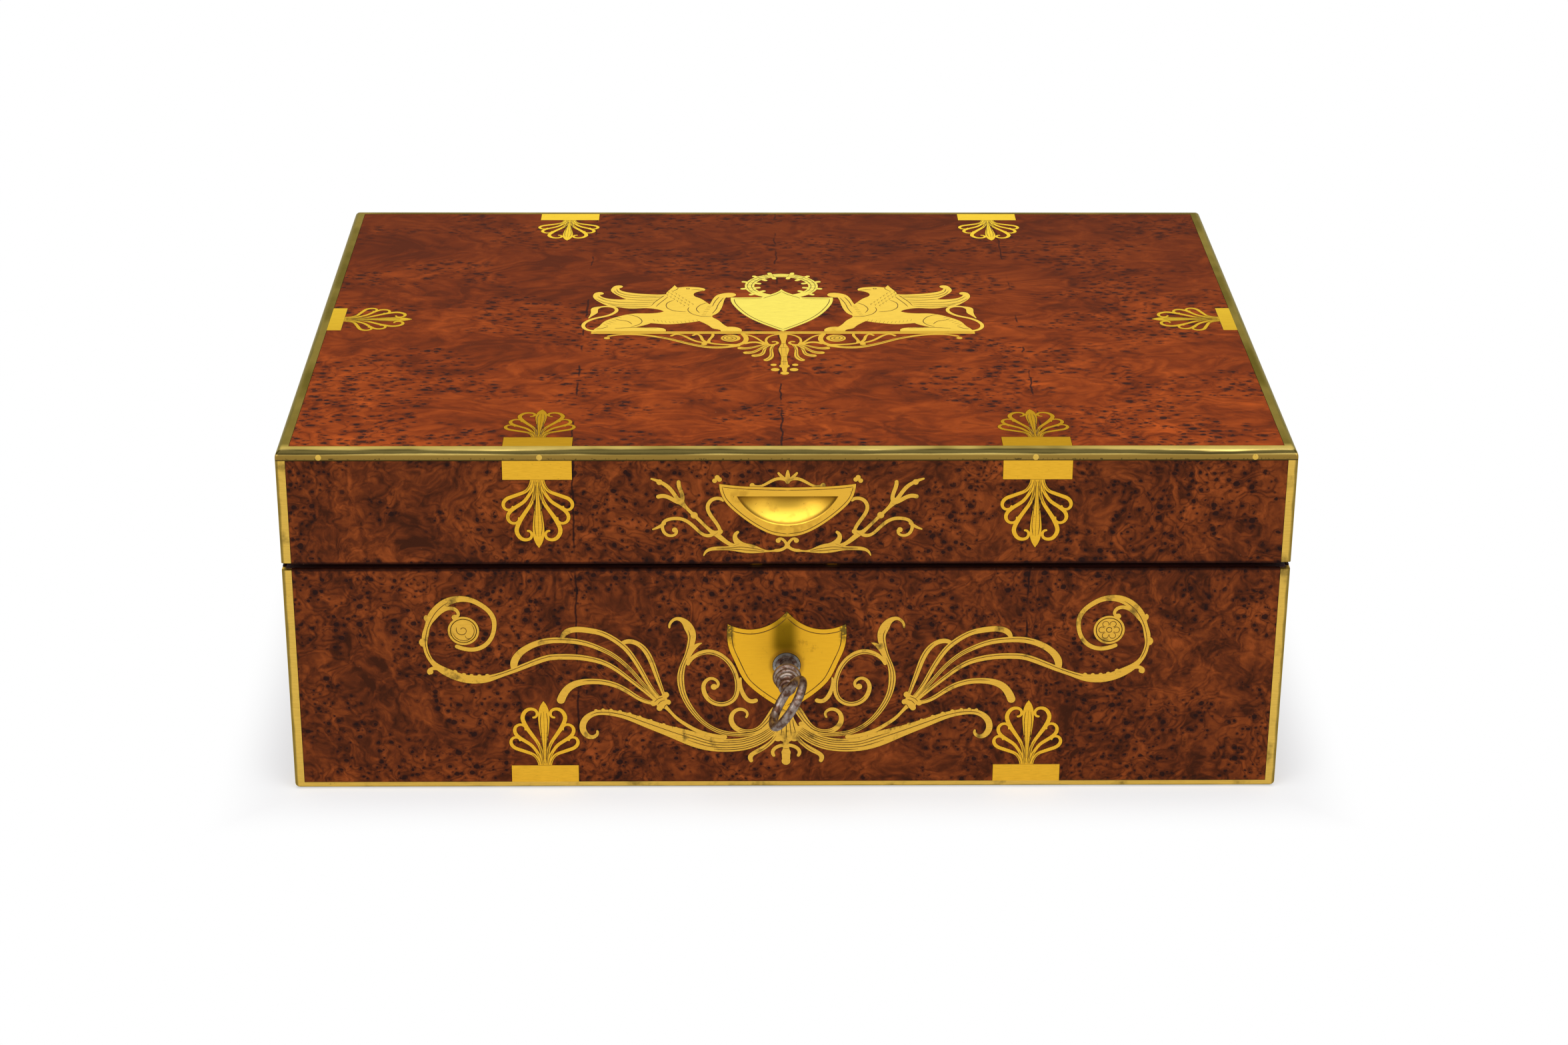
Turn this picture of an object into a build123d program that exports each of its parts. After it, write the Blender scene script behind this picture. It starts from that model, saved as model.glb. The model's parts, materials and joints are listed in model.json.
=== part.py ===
from build123d import *
import math
import os

# Toiletry case: a flat wooden box with a hinged lid, covered in burr veneer and inlaid with brass.
# The origin is the middle of the underside. X runs to the right as seen from the front, the front
# face looks along -Y, and Z is up. All sizes are in millimetres. Two bodies matter most: the case
# below and the lid above, which turns on hinges along the back edge. The lock sits in the front wall.

# Outer sizes of the closed case
case_width = 400.0
case_depth = 296.0
base_height = 98.5
rim_gap = 2.3
lid_height = 48.4

# Boards, veneer and linings
veneer_thickness = 1.6
base_wall = 10.0
bottom_board_thickness = 8.0
lid_top_thickness = 9.0
liner_thickness = 3.0
liner_cover = 1.0
lining_thickness = 1.0
inlay_gap = 0.15

# Brass edging
corner_strip_width = 3.9
bottom_strip_height = 2.8
bottom_strip_lift = 0.3
moulding_height = 4.2
moulding_width = 5.0
moulding_round = 3.0
corner_round = 0.8
base_end_round = 2.5
strip_end_gap = 0.4
pin_radius = 1.15
pin_length = 4.0
pin_drop = 2.85
pin_corner_inset = 17.0
pin_middle_spot = 97.0
pin_end_spot = 100.0

# Inlay placing
palmette_spacing = 196.0
palmette_width = 27.2
base_palmette_foot = 7.5
lid_palmette_foot = 8.0
top_palmette_foot = 9.0
top_side_palmette_foot = 6.0
key_axis_drawn = 55.8

# Keyhole, key and lock
key_height = 55.8
keyhole_radius = 5.7
nozzle_radius = 5.5
nozzle_bore = 4.4
plug_clearance = 0.1
plug_recess = 0.5
keyway_depth = 4.0
lock_width = 64.0
lock_drop = 62.5
lock_plate = 1.2
lock_front_wood = 2.4
lock_fit = 0.1
bolt_thickness = 3.0
bolt_side_gap = 0.2
bolt_throw = 6.0
key_turn_to_locked = 57.0
key_turn_to_unlocked = 33.0
cam_radius = 4.24
cam_pin_radius = 1.2
cam_disc_radius = 6.8
cam_disc_thickness = 0.8
cam_slack = 0.3
staple_reach = 12.8
staple_hook = 2.3
staple_leg = 4.0
staple_foot = 6.0
staple_spacing = 30.0
beak_height = 3.1
beak_gap = 0.6
bolt_bar_height = 6.9
guide_radius = 1.5
guide_spacing = 32.0
running_fit = 0.05
guide_slack = 0.1
hook_slot_gap = 0.7
bar_below_hook = 1.1
bolt_end_margin = 4.0
beak_stem_back = 7.5
tail_half = 5.0
tail_below_key = 1.0
staple_first_foot = 10.0
lock_screw_radius = 1.0
lock_screw_inset = 5.0
lock_screw_above_key = 12.0
cam_disc_gap = 0.1
cam_pin_end_gap = 0.3
nozzle_proud = 0.2
link_plate_thickness = 1.2
link_plate_width = 60.0
link_plate_depth = 8.0
link_screw_inset = 3.5

# Key, measured outwards from the front face
bow_centre = 33.5
bow_radius = 10.45
bow_wire = 1.8
key_shank_radius = 1.7
key_fit = 0.1
key_bit_reach = 3.7
key_bit_thickness = 1.3
key_shoulder_gap = 0.3
key_bit_front_gap = 0.4
key_stem_radius = 2.3
key_collar_arcs = [
    ((2.75, 9), (5.75, 10.6), (4.4, 12.2)),
    ((4.4, 12.2), (5.05, 13.3), (3.9, 14.4)),
    ((3.9, 14.4), (4.4, 15.4), (3.4, 16.4)),
    ((3.4, 16.4), (2.7, 18), (2.6, 19)),
    ((2.6, 19), (3.5, 19.9), (2.6, 20.8)),
]

# Finger pull in the lid front
pull_lip_drop = 19.4
pull_recess_width = 40.5
pull_recess_drop = 12.5
pull_recess_depth = 8.0
pull_shell = 0.8
pull_fit = 0.2

# Hinges
hinge_length = 50.0
hinge_spacing = 240.0
knuckle_count = 5
knuckle_radius = 2.3
knuckle_gap = 0.1
knuckle_stand_off = 0.4
hinge_leaf_gap = 0.1
hinge_pin_radius = 1.1
hinge_leaf_inset = 0.2
screw_radius = 1.1
screw_head_radius = 2.0
screw_head_depth = 0.8
screw_length = 9.0

# Fitted interior
tray_height = 44.0
tray_wall = 4.0
tray_floor = 3.0
tray_divider = 3.0
tray_fit = 0.4
tray_below_rim = 4.8
partition_thickness = 3.0
bottle_row_depth = 82.4
bottle_well_count = 5
flask_width = 62.0
flask_body_height = 56.0
flask_wall = 4.0
flask_corner = 8.0
flask_shoulder = 6.0
flask_neck_radius = 13.0
flask_neck_height = 7.0
flask_shoulder_land = 2.0
flask_cap_radius = 17.0
flask_cap_height = 14.0
cap_fit = 0.2
cap_round = 2.5
mirror_width = 240.0
mirror_depth = 170.0
mirror_frame_width = 12.0
mirror_frame_height = 5.0
mirror_glass_thickness = 3.0
mirror_rebate = 4.5
mirror_screw_bite = 4.0
lid_lining_gap = 0.2
base_lining_gap = 0.1

# Worked-out planes and heights
half_width = case_width / 2
half_depth = case_depth / 2
lid_bottom = base_height + rim_gap
case_height = lid_bottom + lid_height
board_x = half_width - veneer_thickness
board_y = half_depth - veneer_thickness
inner_x = board_x - base_wall
inner_y = board_y - base_wall
well_x = inner_x - liner_thickness
well_y = inner_y - liner_thickness
lid_wall = base_wall + liner_thickness + liner_cover
lid_inner_x = board_x - lid_wall
lid_inner_y = board_y - lid_wall
lid_ceiling = case_height - veneer_thickness - lid_top_thickness
moulding_bottom = case_height - moulding_height
strip_top = bottom_strip_lift + bottom_strip_height
pull_lip_z = case_height - pull_lip_drop
floor_z = bottom_board_thickness + lining_thickness
face_margin = corner_strip_width + inlay_gap
lining_bottom = lid_ceiling - lining_thickness
mirror_bottom = lining_bottom - mirror_frame_height
mirror_screw_top = lid_ceiling + mirror_screw_bite
partition_back = well_y - bottle_row_depth
partition_front = partition_back - partition_thickness
tray_top = lid_bottom - tray_below_rim
tray_bottom_z = tray_top - tray_height
tray_x = well_x - tray_fit
tray_front = -well_y + tray_fit
tray_back = partition_front - tray_fit
well_pitch = (2 * well_x + partition_thickness) / bottle_well_count

# How far a cut runs past the face that it goes through
past = 1.0


def block(x0, x1, y0, y1, z0, z1):
    """Box between two opposite corners."""
    return Pos((x0 + x1) / 2, (y0 + y1) / 2, (z0 + z1) / 2) * Box(x1 - x0, y1 - y0, z1 - z0)


def rod(x, y, z0, z1, radius):
    """Upright round rod."""
    return Pos(x, y, (z0 + z1) / 2) * Cylinder(radius, z1 - z0)


def rod_y(x, z, y0, y1, radius):
    """Round rod that runs from front to back."""
    return Pos(x, (y0 + y1) / 2, z) * Rot(90, 0, 0) * Cylinder(radius, y1 - y0)


def rod_x(y, z, x0, x1, radius):
    """Round rod that runs from left to right."""
    return Pos((x0 + x1) / 2, y, z) * Rot(0, 90, 0) * Cylinder(radius, x1 - x0)


# Inner planes of the four veneered sides and the top: inlays are drawn on them and rise outwards
front_plane = Plane(origin=(0, -board_y, 0), x_dir=(1, 0, 0), z_dir=(0, -1, 0))
back_plane = Plane(origin=(0, board_y, 0), x_dir=(-1, 0, 0), z_dir=(0, 1, 0))
right_plane = Plane(origin=(board_x, 0, 0), x_dir=(0, 1, 0), z_dir=(1, 0, 0))
left_plane = Plane(origin=(-board_x, 0, 0), x_dir=(0, -1, 0), z_dir=(-1, 0, 0))
top_plane = Plane(origin=(0, 0, case_height - veneer_thickness), x_dir=(1, 0, 0), z_dir=(0, 0, 1))


def inlay(sketch, plane):
    """Raise a flat drawing to the thickness of the veneer on one side of the case."""
    return plane * extrude(sketch, amount=veneer_thickness, dir=(0, 0, 1))


# Drawing of the inlay: strips that follow a course of (x, y, width), and closed outlines

def course_normals(points):
    """Unit normals of a line of points, as if arcs ran through them."""
    last = len(points) - 1
    runs = [Vector(*points[i + 1]) - Vector(*points[i]) for i in range(last)]
    tangents = []
    for i in range(last + 1):
        if 0 < i < last:
            before, after = runs[i - 1], runs[i]
            tangents.append(before * (after.length / before.length) + after * (before.length / after.length))
        else:
            tangents.append(None)
    first_run, last_run = runs[0].normalized(), runs[-1].normalized()
    tangents[0] = first_run if last == 1 else first_run * 2 - tangents[1].normalized()
    tangents[last] = last_run if last == 1 else last_run * 2 - tangents[last - 1].normalized()
    return [Vector(-t.Y, t.X).normalized() for t in tangents]


def smooth_edge(points):
    """Line through two points, or a smooth curve through more."""
    return Line(*points) if len(points) == 2 else Spline(*points)


def stroke(course, grow=0.0):
    """Flat strip with round ends along (x, y, width) points; grow widens it on every side."""
    points = [(x, y) for x, y, width in course]
    normals = course_normals(points)
    half = [max(width / 2, 0.01) + grow for x, y, width in course]
    left = [Vector(*p) + n * h for p, n, h in zip(points, normals, half)]
    right = [Vector(*p) - n * h for p, n, h in zip(points, normals, half)]
    forward = Vector(normals[-1].Y, -normals[-1].X)
    backward = Vector(-normals[0].Y, normals[0].X)
    end_tip = Vector(*points[-1]) + forward * half[-1]
    start_tip = Vector(*points[0]) + backward * half[0]
    edges = [
        smooth_edge(left),
        ThreePointArc(left[-1], end_tip, right[-1]),
        smooth_edge(right[::-1]),
        ThreePointArc(right[0], start_tip, left[0]),
    ]
    return make_face(edges)


def even(points, width):
    """Course of one width along plain points."""
    return [(x, y, width) for x, y in points]


def disc(x, y, radius, grow=0.0):
    """Round spot of inlay."""
    return Pos(x, y) * Circle(radius + grow)


def closed_outline(runs, grow=0.0):
    """Face inside curved runs of points that meet at corners; grow adds a thin border to it."""
    face = make_face([smooth_edge(run) for run in runs])
    if not grow:
        return face
    return unite([face] + [stroke(even(run, 0.0), grow) for run in runs])


def unite(faces):
    """One flat drawing from overlapping faces."""
    return Sketch() + faces


def both_sides(drawing):
    """A drawing of the right half with its mirror image on the left."""
    return drawing + mirror(drawing, about=Plane.YZ)


# Palmette: rises from a plain foot at y = 0; the tip is at the top
palmette_leaf = [
    (0, 0, 0.8), (0, 5.3, 1.1), (0, 10, 2.0), (0, 14.6, 3.3), (0, 19.3, 4.4), (0, 22.4, 4.6),
    (0, 25.9, 3.6), (0, 29, 0.4),
]
palmette_petals = [
    [(0.55, 0, 0.8), (0.9, 2, 1.0), (1.2, 5, 1.2), (1.9, 8.4, 1.3), (3, 10.9, 1.4), (4.8, 13.7, 1.5),
     (6.6, 16.5, 1.7), (8.1, 19.6, 1.7), (8.6, 21.8, 1.7), (7.9, 24, 1.6), (6.5, 25.4, 1.5),
     (4.6, 25.7, 1.3), (3.2, 25, 1.2), (2.7, 23.7, 1.1), (3.1, 22.4, 1.0), (4.2, 21.9, 0.9)],
    [(1.1, 0, 0.9), (1.5, 2, 1.0), (2.2, 4.3, 1.2), (3.5, 6.8, 1.3), (5.7, 9.6, 1.4), (8, 11.2, 1.5),
     (10.1, 12.8, 1.5), (11.6, 14.6, 1.5), (11.9, 16.5, 1.4), (11, 18.1, 1.2), (9.1, 18.6, 1.1),
     (7.9, 17.8, 0.9), (7.6, 16.4, 0.8)],
    [(2.2, 0, 1.2), (2.6, 2, 1.2), (4.3, 4.7, 1.3), (6.8, 6, 1.4), (9.8, 7.1, 1.5), (12.3, 8.3, 1.5),
     (13.5, 10.1, 1.4), (13.3, 11.8, 1.2), (12.1, 12.8, 1.1), (10.7, 12.6, 0.9), (9.9, 11.5, 0.8)],
]


def palmette(foot, grow=0.0):
    """Palmette on its plain foot, pointing up, with the foot's top edge at y = 0."""
    petals = [stroke(petal, grow) for petal in palmette_petals]
    leaf = stroke(palmette_leaf, grow)
    base = Pos(0, -foot / 2) * Rectangle(palmette_width + 2 * grow, foot + 2 * grow)
    right = unite(petals)
    return unite([leaf, base]) + right + mirror(right, about=Plane.YZ)


# Shield with the keyhole, drawn about the keyhole
shield_half = [
    [(0, 24.0), (4.5, 19.5), (9.3, 16.9), (14, 15.95), (19, 16.5), (23.6, 18.3)],
    [(23.6, 18.3), (23.8, 12.3), (23, 7.3), (20.8, 1.7), (17.1, -6.4), (13.3, -10.8), (9.3, -14.2),
     (4.9, -17.4), (0, -20.5)],
]


def mirrored_runs(runs):
    """Runs of the right half followed by their mirror image, back to the start."""
    left = [[(-x, y) for x, y in reversed(run)] for run in reversed(runs)]
    return runs + left


def key_shield(grow=0.0):
    """Escutcheon outline about the keyhole."""
    return closed_outline(mirrored_runs(shield_half), grow)


# Scrolling foliage of the front, right half, drawn from the middle of the base of the case
scroll_strokes = [
    [(46.9, 72.8, 0.8), (46.3, 75, 1.1), (44.1, 76.6, 1.4), (41.6, 75.9, 2.2), (39.4, 73.1, 3.6),
     (38, 69.4, 3.4), (38.5, 65, 2.8), (40.1, 60, 2.0), (41.9, 55, 2.3), (42.6, 50, 2.8),
     (41.8, 43.75, 2.4), (39.5, 38.1, 2.2), (35.25, 31.9, 1.9), (31, 28.1, 1.8), (26, 25.6, 1.9),
     (21, 24.7, 1.9), (14.75, 25, 2.0), (9.75, 26.9, 2.0), (6, 29.4, 2.0)],
    [(34, 65.8, 0.3), (36.3, 64.6, 1.6), (38.6, 61.5, 1.8), (40, 58, 1.2)],
    [(39.6, 56.5, 1.4), (36, 60.6, 1.8), (31, 61.9, 2.1), (26, 60, 2.0), (22.5, 56.2, 1.9),
     (20.3, 51, 1.9), (19.7, 46, 1.9), (21, 41, 1.9), (24, 38.7, 1.9), (27.5, 38.4, 1.9),
     (31, 40.2, 1.9), (33.2, 44, 1.8), (33, 48, 1.6), (30.3, 50, 1.3), (27.8, 48.6, 1.2),
     (27.9, 46.2, 1.1)],
    [(18.5, 50, 0.9), (18.4, 46.25, 1.3), (17.25, 42.5, 1.8), (14.75, 39.8, 1.8), (12.4, 40, 1.8)],
    [(4.75, 35.6, 3.0), (7.9, 30.6, 2.6), (11.6, 26.9, 2.0), (16, 25.9, 1.8), (20.4, 27.5, 2.2),
     (22.3, 31.25, 2.0), (21, 35, 1.6), (17.9, 36, 1.4), (15.9, 34.5, 1.1), (16.2, 32.5, 0.9)],
    [(5.5, 26.5, 4.0), (10.5, 22.8, 5.0), (16.5, 20.4, 5.6), (23, 19.6, 5.8), (30.3, 20.1, 6.1),
     (38, 22.6, 6.6), (47, 26, 4.9), (57, 30, 3.8), (65, 33.2, 3.0), (72, 34.7, 2.5), (77.5, 34.3, 2.3),
     (81.3, 31.5, 2.6), (82.4, 28, 2.6), (81.3, 24.9, 2.4), (78.8, 23.5, 1.8), (76.7, 24.7, 1.3),
     (76.5, 26.2, 0.9)],
    [(49.75, 38.1, 2.2), (48.5, 36.9, 1.6), (44.75, 32.5, 1.3), (41, 29.4, 1.5), (36.6, 26.6, 1.6),
     (31, 24.4, 1.7), (24.75, 23.4, 1.7)],
    [(49.4, 42.5, 1.3), (51, 47.5, 1.6), (52.6, 52.5, 2.0), (54.4, 58.1, 2.2), (56.6, 62.5, 2.2),
     (59.75, 65.6, 2.0), (62.9, 66.6, 2.0), (65.7, 65.9, 1.6)],
    [(51, 41, 1.3), (55.4, 47.5, 1.6), (58.5, 53.75, 1.9), (61.6, 59.4, 2.0), (64.75, 63.75, 2.2),
     (69.1, 67.5, 2.2), (74.1, 70.3, 2.2), (79.75, 71.6, 2.4), (84.75, 71.9, 2.4), (87.9, 70.9, 2.4),
     (89.75, 68.4, 1.6)],
    [(51.8, 40.6, 1.2), (57.25, 46.9, 1.4), (61, 51.9, 1.5), (64.75, 56.25, 1.6), (69.75, 60.6, 1.8),
     (75.4, 63.75, 2.0), (81, 65.9, 2.2), (86.6, 66.9, 2.3), (95, 67, 2.5), (100, 65.75, 2.5),
     (103.75, 63.9, 2.6), (106.9, 61.4, 2.8), (109.1, 57.9, 3.0), (109.4, 55.1, 2.6)],
    [(54, 39, 1.6), (59.75, 41.25, 1.8), (64.1, 44.4, 2.0), (68.5, 46.9, 2.2), (73.5, 48.4, 2.3),
     (78.5, 48.75, 2.4), (83.5, 48.1, 2.7), (87.25, 46.25, 3.0), (89.75, 43.1, 3.2), (90.9, 40.4, 3.3)],
    [(52.6, 40, 1.3), (58.5, 45.6, 1.5), (63.5, 50, 1.7), (67.9, 53.75, 1.9), (72.9, 56.9, 2.1),
     (78.5, 58.75, 2.3), (84.75, 59.7, 2.4), (91, 59.8, 2.5), (95, 59.5, 2.5), (100, 57.9, 2.5),
     (105, 55.75, 2.4), (110, 53.6, 2.2), (115, 51.7, 2.2), (120, 50.1, 3.0), (125, 49.7, 3.6),
     (130, 50.3, 3.6), (135, 52.3, 3.6), (138.5, 54.3, 3.0), (142.5, 58.25, 1.9), (144.1, 62, 1.9),
     (144.7, 65.75, 1.9), (144.4, 69.5, 2.6), (143.4, 73.25, 2.2), (141.9, 77, 3.3), (139.4, 80.75, 3.5),
     (135.6, 83.9, 3.3), (131.25, 85.4, 2.8), (126.25, 85.1, 2.2), (121.9, 82.9, 2.0),
     (118.75, 80.1, 1.9), (116.9, 76.4, 1.9), (116.9, 72, 1.7), (118.1, 68.25, 1.7), (120.6, 65.1, 1.8),
     (124.4, 63.25, 1.8), (128.1, 63.25, 1.8), (131.9, 64.5, 1.7)],
    [(141.25, 75.75, 1.0), (137.5, 80.1, 1.6), (134.4, 81.4, 1.6), (131.9, 80.75, 1.5),
     (130.9, 78.9, 1.3), (131.9, 77.5, 1.2)],
    [(4, 24.4, 1.6), (7.9, 19.4, 1.8), (11.6, 16.9, 2.0), (14.4, 14.6, 2.0), (14.2, 12.6, 1.6)],
    [(0, 19.4, 1.5), (3.4, 19, 1.5), (5.4, 16.9, 1.5), (5, 15, 1.3)],
]
scroll_spots = [
    (29.2, 46.2, 1.3), (50.35, 38.5, 2.15), (47.8, 39.3, 1.2), (51.2, 36.6, 1.2), (48.6, 42.6, 1.3),
    (53.6, 38.9, 1.3), (132.4, 77.4, 1.2), (142.9, 53.2, 1.1), (3.3, 23.3, 1.9), (49.9, 40.6, 1.8),
]
scroll_rosette = (129.1, 71.4)
rosette_ring_outer = 6.25
rosette_ring_inner = 5.35
rosette_disc = 5.0
scroll_centre = [
    [(0, 34.6, 6.0), (0, 30.5, 7.4), (0, 27, 10.0), (0, 24.6, 7.2)],
    [(0, 26, 4.6), (0, 23.1, 4.4), (0, 21.25, 2.6), (0, 19, 2.4), (0, 12.5, 2.6)],
]
scroll_centre_spots = [(0, 16.25, 1.9), (0, 12.4, 1.8)]


def front_scroll(grow=0.0):
    """Foliage of the front about the keyhole, without the shield."""
    parts = [stroke(course, grow) for course in scroll_strokes]
    parts += [disc(x, y, radius, grow) for x, y, radius in scroll_spots]
    ring = disc(*scroll_rosette, rosette_ring_outer, grow)
    if not grow:
        ring = ring - disc(*scroll_rosette, rosette_ring_inner) + disc(*scroll_rosette, rosette_disc)
    right = unite(parts) + ring
    middle = [stroke(course, grow) for course in scroll_centre]
    middle += [disc(x, y, radius, grow) for x, y, radius in scroll_centre_spots]
    drawing = unite(middle) + right + mirror(right, about=Plane.YZ)
    return Pos(0, -key_axis_drawn) * drawing


# Finger pull plate and the sprigs beside it, drawn about the middle of the lip of the recess
pull_half = [
    [(0, 3.7), (9, 3.9), (18, 4.3), (24, 4.9), (26.8, 5.3)],
    [(26.8, 5.3), (26.6, 2.9), (24.8, -1.8), (20, -7.1), (13.5, -12.3), (6.8, -16), (0, -17.3)],
]
pull_strokes = [
    [(0.8, 7, 1.3), (2.2, 8.3, 1.3), (3.6, 9.9, 0.9)],
    [(1.2, 7.2, 1.3), (4, 7.5, 1.3), (7, 6.2, 1.2), (10.5, 4.4, 1.0), (13.6, 4.7, 1.0)],
    [(25.4, -1.5, 1.4), (27.4, -0.8, 1.4), (30.1, -1.8, 1.5), (31.4, -4.5, 1.5), (30.4, -7.8, 1.5),
     (27.4, -12.5, 1.4), (26.4, -15.1, 1.3)],
    [(26.4, -15.1, 2.0), (28.7, -15.8, 2.2), (31.3, -13.8, 1.4), (36.7, -8.1, 1.4), (40.7, -3.8, 1.8),
     (42, -2.1, 3.0)],
    [(41.6, -2.4, 1.6), (41.3, 0.2, 1.6), (42.3, 3.5, 1.6), (42.7, 6.2, 1.5)],
    [(42.4, -2.1, 1.6), (44, 0.2, 1.6), (46.7, 3.9, 1.6), (50, 6.2, 1.4), (53.3, 7.5, 0.8)],
    [(42.6, -2.6, 1.6), (44.7, -1.5, 1.7), (47.3, -0.1, 1.7), (50.7, -0.1, 1.7)],
    [(29.5, -16.4, 1.5), (32, -16.8, 1.4), (36.7, -13.1, 1.4), (41.3, -9.8, 1.4), (45.3, -9.5, 1.4),
     (48.7, -11.1, 1.4), (49, -14.5, 1.3), (46.7, -16.8, 1.2), (44.2, -16.3, 1.1), (43.6, -14.7, 1.0)],
    [(48.4, -11.6, 1.2), (50.7, -13.1, 1.2), (53, -14.1, 0.6)],
    [(4.5, -23.3, 1.2), (9, -23.5, 1.2), (13, -22.8, 3.4), (18, -22.2, 3.8), (23, -22.3, 1.8),
     (28, -22.4, 1.6), (31, -23, 1.3), (33, -25.4, 0.5)],
    [(17, -21.3, 2.6), (20.1, -19.1, 2.4), (20.6, -16.7, 1.6), (19.6, -15.4, 1.2)],
    [(19, -21.3, 1.6), (22.7, -20.5, 1.6), (26, -18, 2.0), (28.7, -15.8, 2.0)],
    [(0, -21.2, 1.3), (0.8, -19.6, 1.2), (2.2, -18.3, 1.1), (3.6, -18.4, 1.0)],
    [(0, -21.2, 1.3), (2, -22.8, 1.3), (4.5, -23.3, 1.3)],
]
pull_spots = [(0, 7, 1.3), (13.9, 4.7, 1.0), (36.7, -8.1, 1.4), (50.2, 6.1, 1.2), (44.4, -14.4, 1.1),
              (3.6, -19, 1.0), (0, -21.4, 1.1)]
horn_spots = [(27.6, 8.1, 1.0), (28.6, 6.7, 0.95), (26.7, 7.2, 0.95)]
pull_crest = [(0, 6.2, 1.8), (0, 8.4, 1.9), (0, 10.8, 0.9)]


def pull_plate(grow=0.0):
    """Outline of the finger pull plate about the lip of its recess."""
    return closed_outline(mirrored_runs(pull_half), grow)


def pull_sprigs(grow=0.0):
    """Foliage round the finger pull plate."""
    parts = [stroke(course, grow) for course in pull_strokes]
    parts += [disc(x, y, radius, grow) for x, y, radius in pull_spots + horn_spots]
    return both_sides(unite(parts)) + stroke(pull_crest, grow)


# Lid-top inlay, right half, drawn about the middle of the lid
griffin_runs = [
    [(34, 36.4), (34, 38.7), (35.9, 40.2), (38.7, 40.9), (42, 41.2), (44.8, 40.6), (46, 40.1)],
    [(46, 40.1), (47.4, 43.4)],
    [(47.4, 43.4), (48.4, 40.1), (49.5, 37.3), (50.6, 34.2), (50.9, 31.7)],
    [(50.9, 31.7), (54.8, 31.2), (58.7, 31.7), (63.1, 32.4), (67, 33.7), (69.8, 35.3), (71.5, 37.6),
     (71.7, 39.5)],
    [(71.7, 39.5), (70.5, 40.6), (70.3, 42), (71.5, 43.1), (73.4, 42.7), (74.8, 40.3), (75.4, 37),
     (74.5, 33.7), (72.6, 30.6), (70.4, 27.6), (68.1, 25.1)],
    [(68.1, 25.1), (70.9, 24.8), (74.3, 25.3), (77, 26.4), (79.3, 28.7), (80, 30.9)],
    [(80, 30.9), (78.6, 31.7), (78.5, 33.2), (79.7, 34.3), (81.5, 33.9), (82.9, 30.9), (82.9, 28.1),
     (81.8, 24.8), (79.8, 21.4), (77.6, 18.4), (75.4, 16.4), (71.5, 15.1), (67.6, 13.6), (63.1, 13.4),
     (59.8, 13.9), (55.4, 12.8), (53.7, 12), (51.5, 9.5)],
    [(51.5, 9.5), (54.3, 7.8), (58.7, 7.1), (63.1, 7.1), (67, 5.9), (70.4, 3.7), (73.7, 0.9),
     (76.5, -2.4), (78.1, -6.3), (79.3, -9.7), (80.9, -12.7), (80.9, -14.9)],
    [(80.9, -14.9), (50.3, -14.9)],
    [(50.3, -14.9), (50.1, -13.6), (51.5, -11.3), (53.1, -10.7), (58.7, -10.2), (63.1, -9.6)],
    [(63.1, -9.6), (61.5, -8.8), (58.7, -6.9), (56.8, -4.9)],
    [(56.8, -4.9), (53.1, -5.8), (48.7, -6.3), (44.3, -5.5), (39.8, -4.1), (35.9, -2.4)],
    [(35.9, -2.4), (33.7, -5.2), (31.5, -8.6), (29.5, -11.9), (27.9, -12.6), (26.6, -14.9)],
    [(26.6, -14.9), (17.8, -14.9)],
    [(17.8, -14.9), (17.9, -12.4), (19.8, -10.2), (23.7, -9.6)],
    [(23.7, -9.6), (25.9, -5.8), (28.1, -0.8), (30.4, 3.1), (30.1, 4.8)],
    [(30.1, 4.8), (28.1, 7.6), (26.8, 12), (25.9, 17.6), (25.4, 23.1), (24.5, 27.6)],
    [(24.5, 27.6), (21.6, 28.2), (20.1, 30.6), (21, 32.8), (23.1, 33.4), (25.9, 32.6), (28.1, 30.9),
     (29.5, 28.1), (30.6, 23.7), (31.6, 18.7)],
    [(31.6, 18.7), (33.1, 21.4), (34.5, 24.2), (36.5, 27), (38.1, 28.7), (38.7, 30.3), (38.4, 33.1),
     (37, 34.8), (34, 36.4)],
]
griffin_tail = [
    [(79.5, -14.1, 1.6), (83.1, -13.6, 1.6), (85.4, -10.2, 1.6), (85.6, -6.3, 1.6), (83.7, -1.9, 1.6),
     (80.4, 1.4, 1.6), (76.5, 3.7, 1.6), (73.4, 7, 1.6), (72, 10.9, 1.6), (72.6, 13.7, 1.6),
     (74.8, 15.6, 1.6), (77.6, 15.8, 1.5), (79.8, 14.8, 1.4)],
    [(79.8, 14.8, 2.0), (81.6, 12.6, 3.2), (81.6, 8.7, 3.0), (82.6, 4.8, 1.5), (83.7, 1.4, 0.6)],
]
crest_shield_half = [
    [(0, 38.1), (3.2, 33), (6.6, 29.8), (9, 27.6)],
    [(9, 27.6), (22.4, 27.3)],
    [(22.4, 27.3), (22.2, 22), (20.4, 14.9), (16.7, 5.8), (12.2, -1.5), (6, -8.7), (0, -14.9)],
]
wreath_centre_y = 42.3
wreath_outer = 16.2
wreath_inner = 12.0
wreath_leaf_angles = (17.0, 43.0, 71.5, 102.0, 129.5)
wreath_leaf_start = 10.3
wreath_leaf_end = 17.6
wreath_leaf_width = 1.9
bar_half_length = 82.0
bar_top = -15.2
bar_bottom = -18.0
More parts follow.
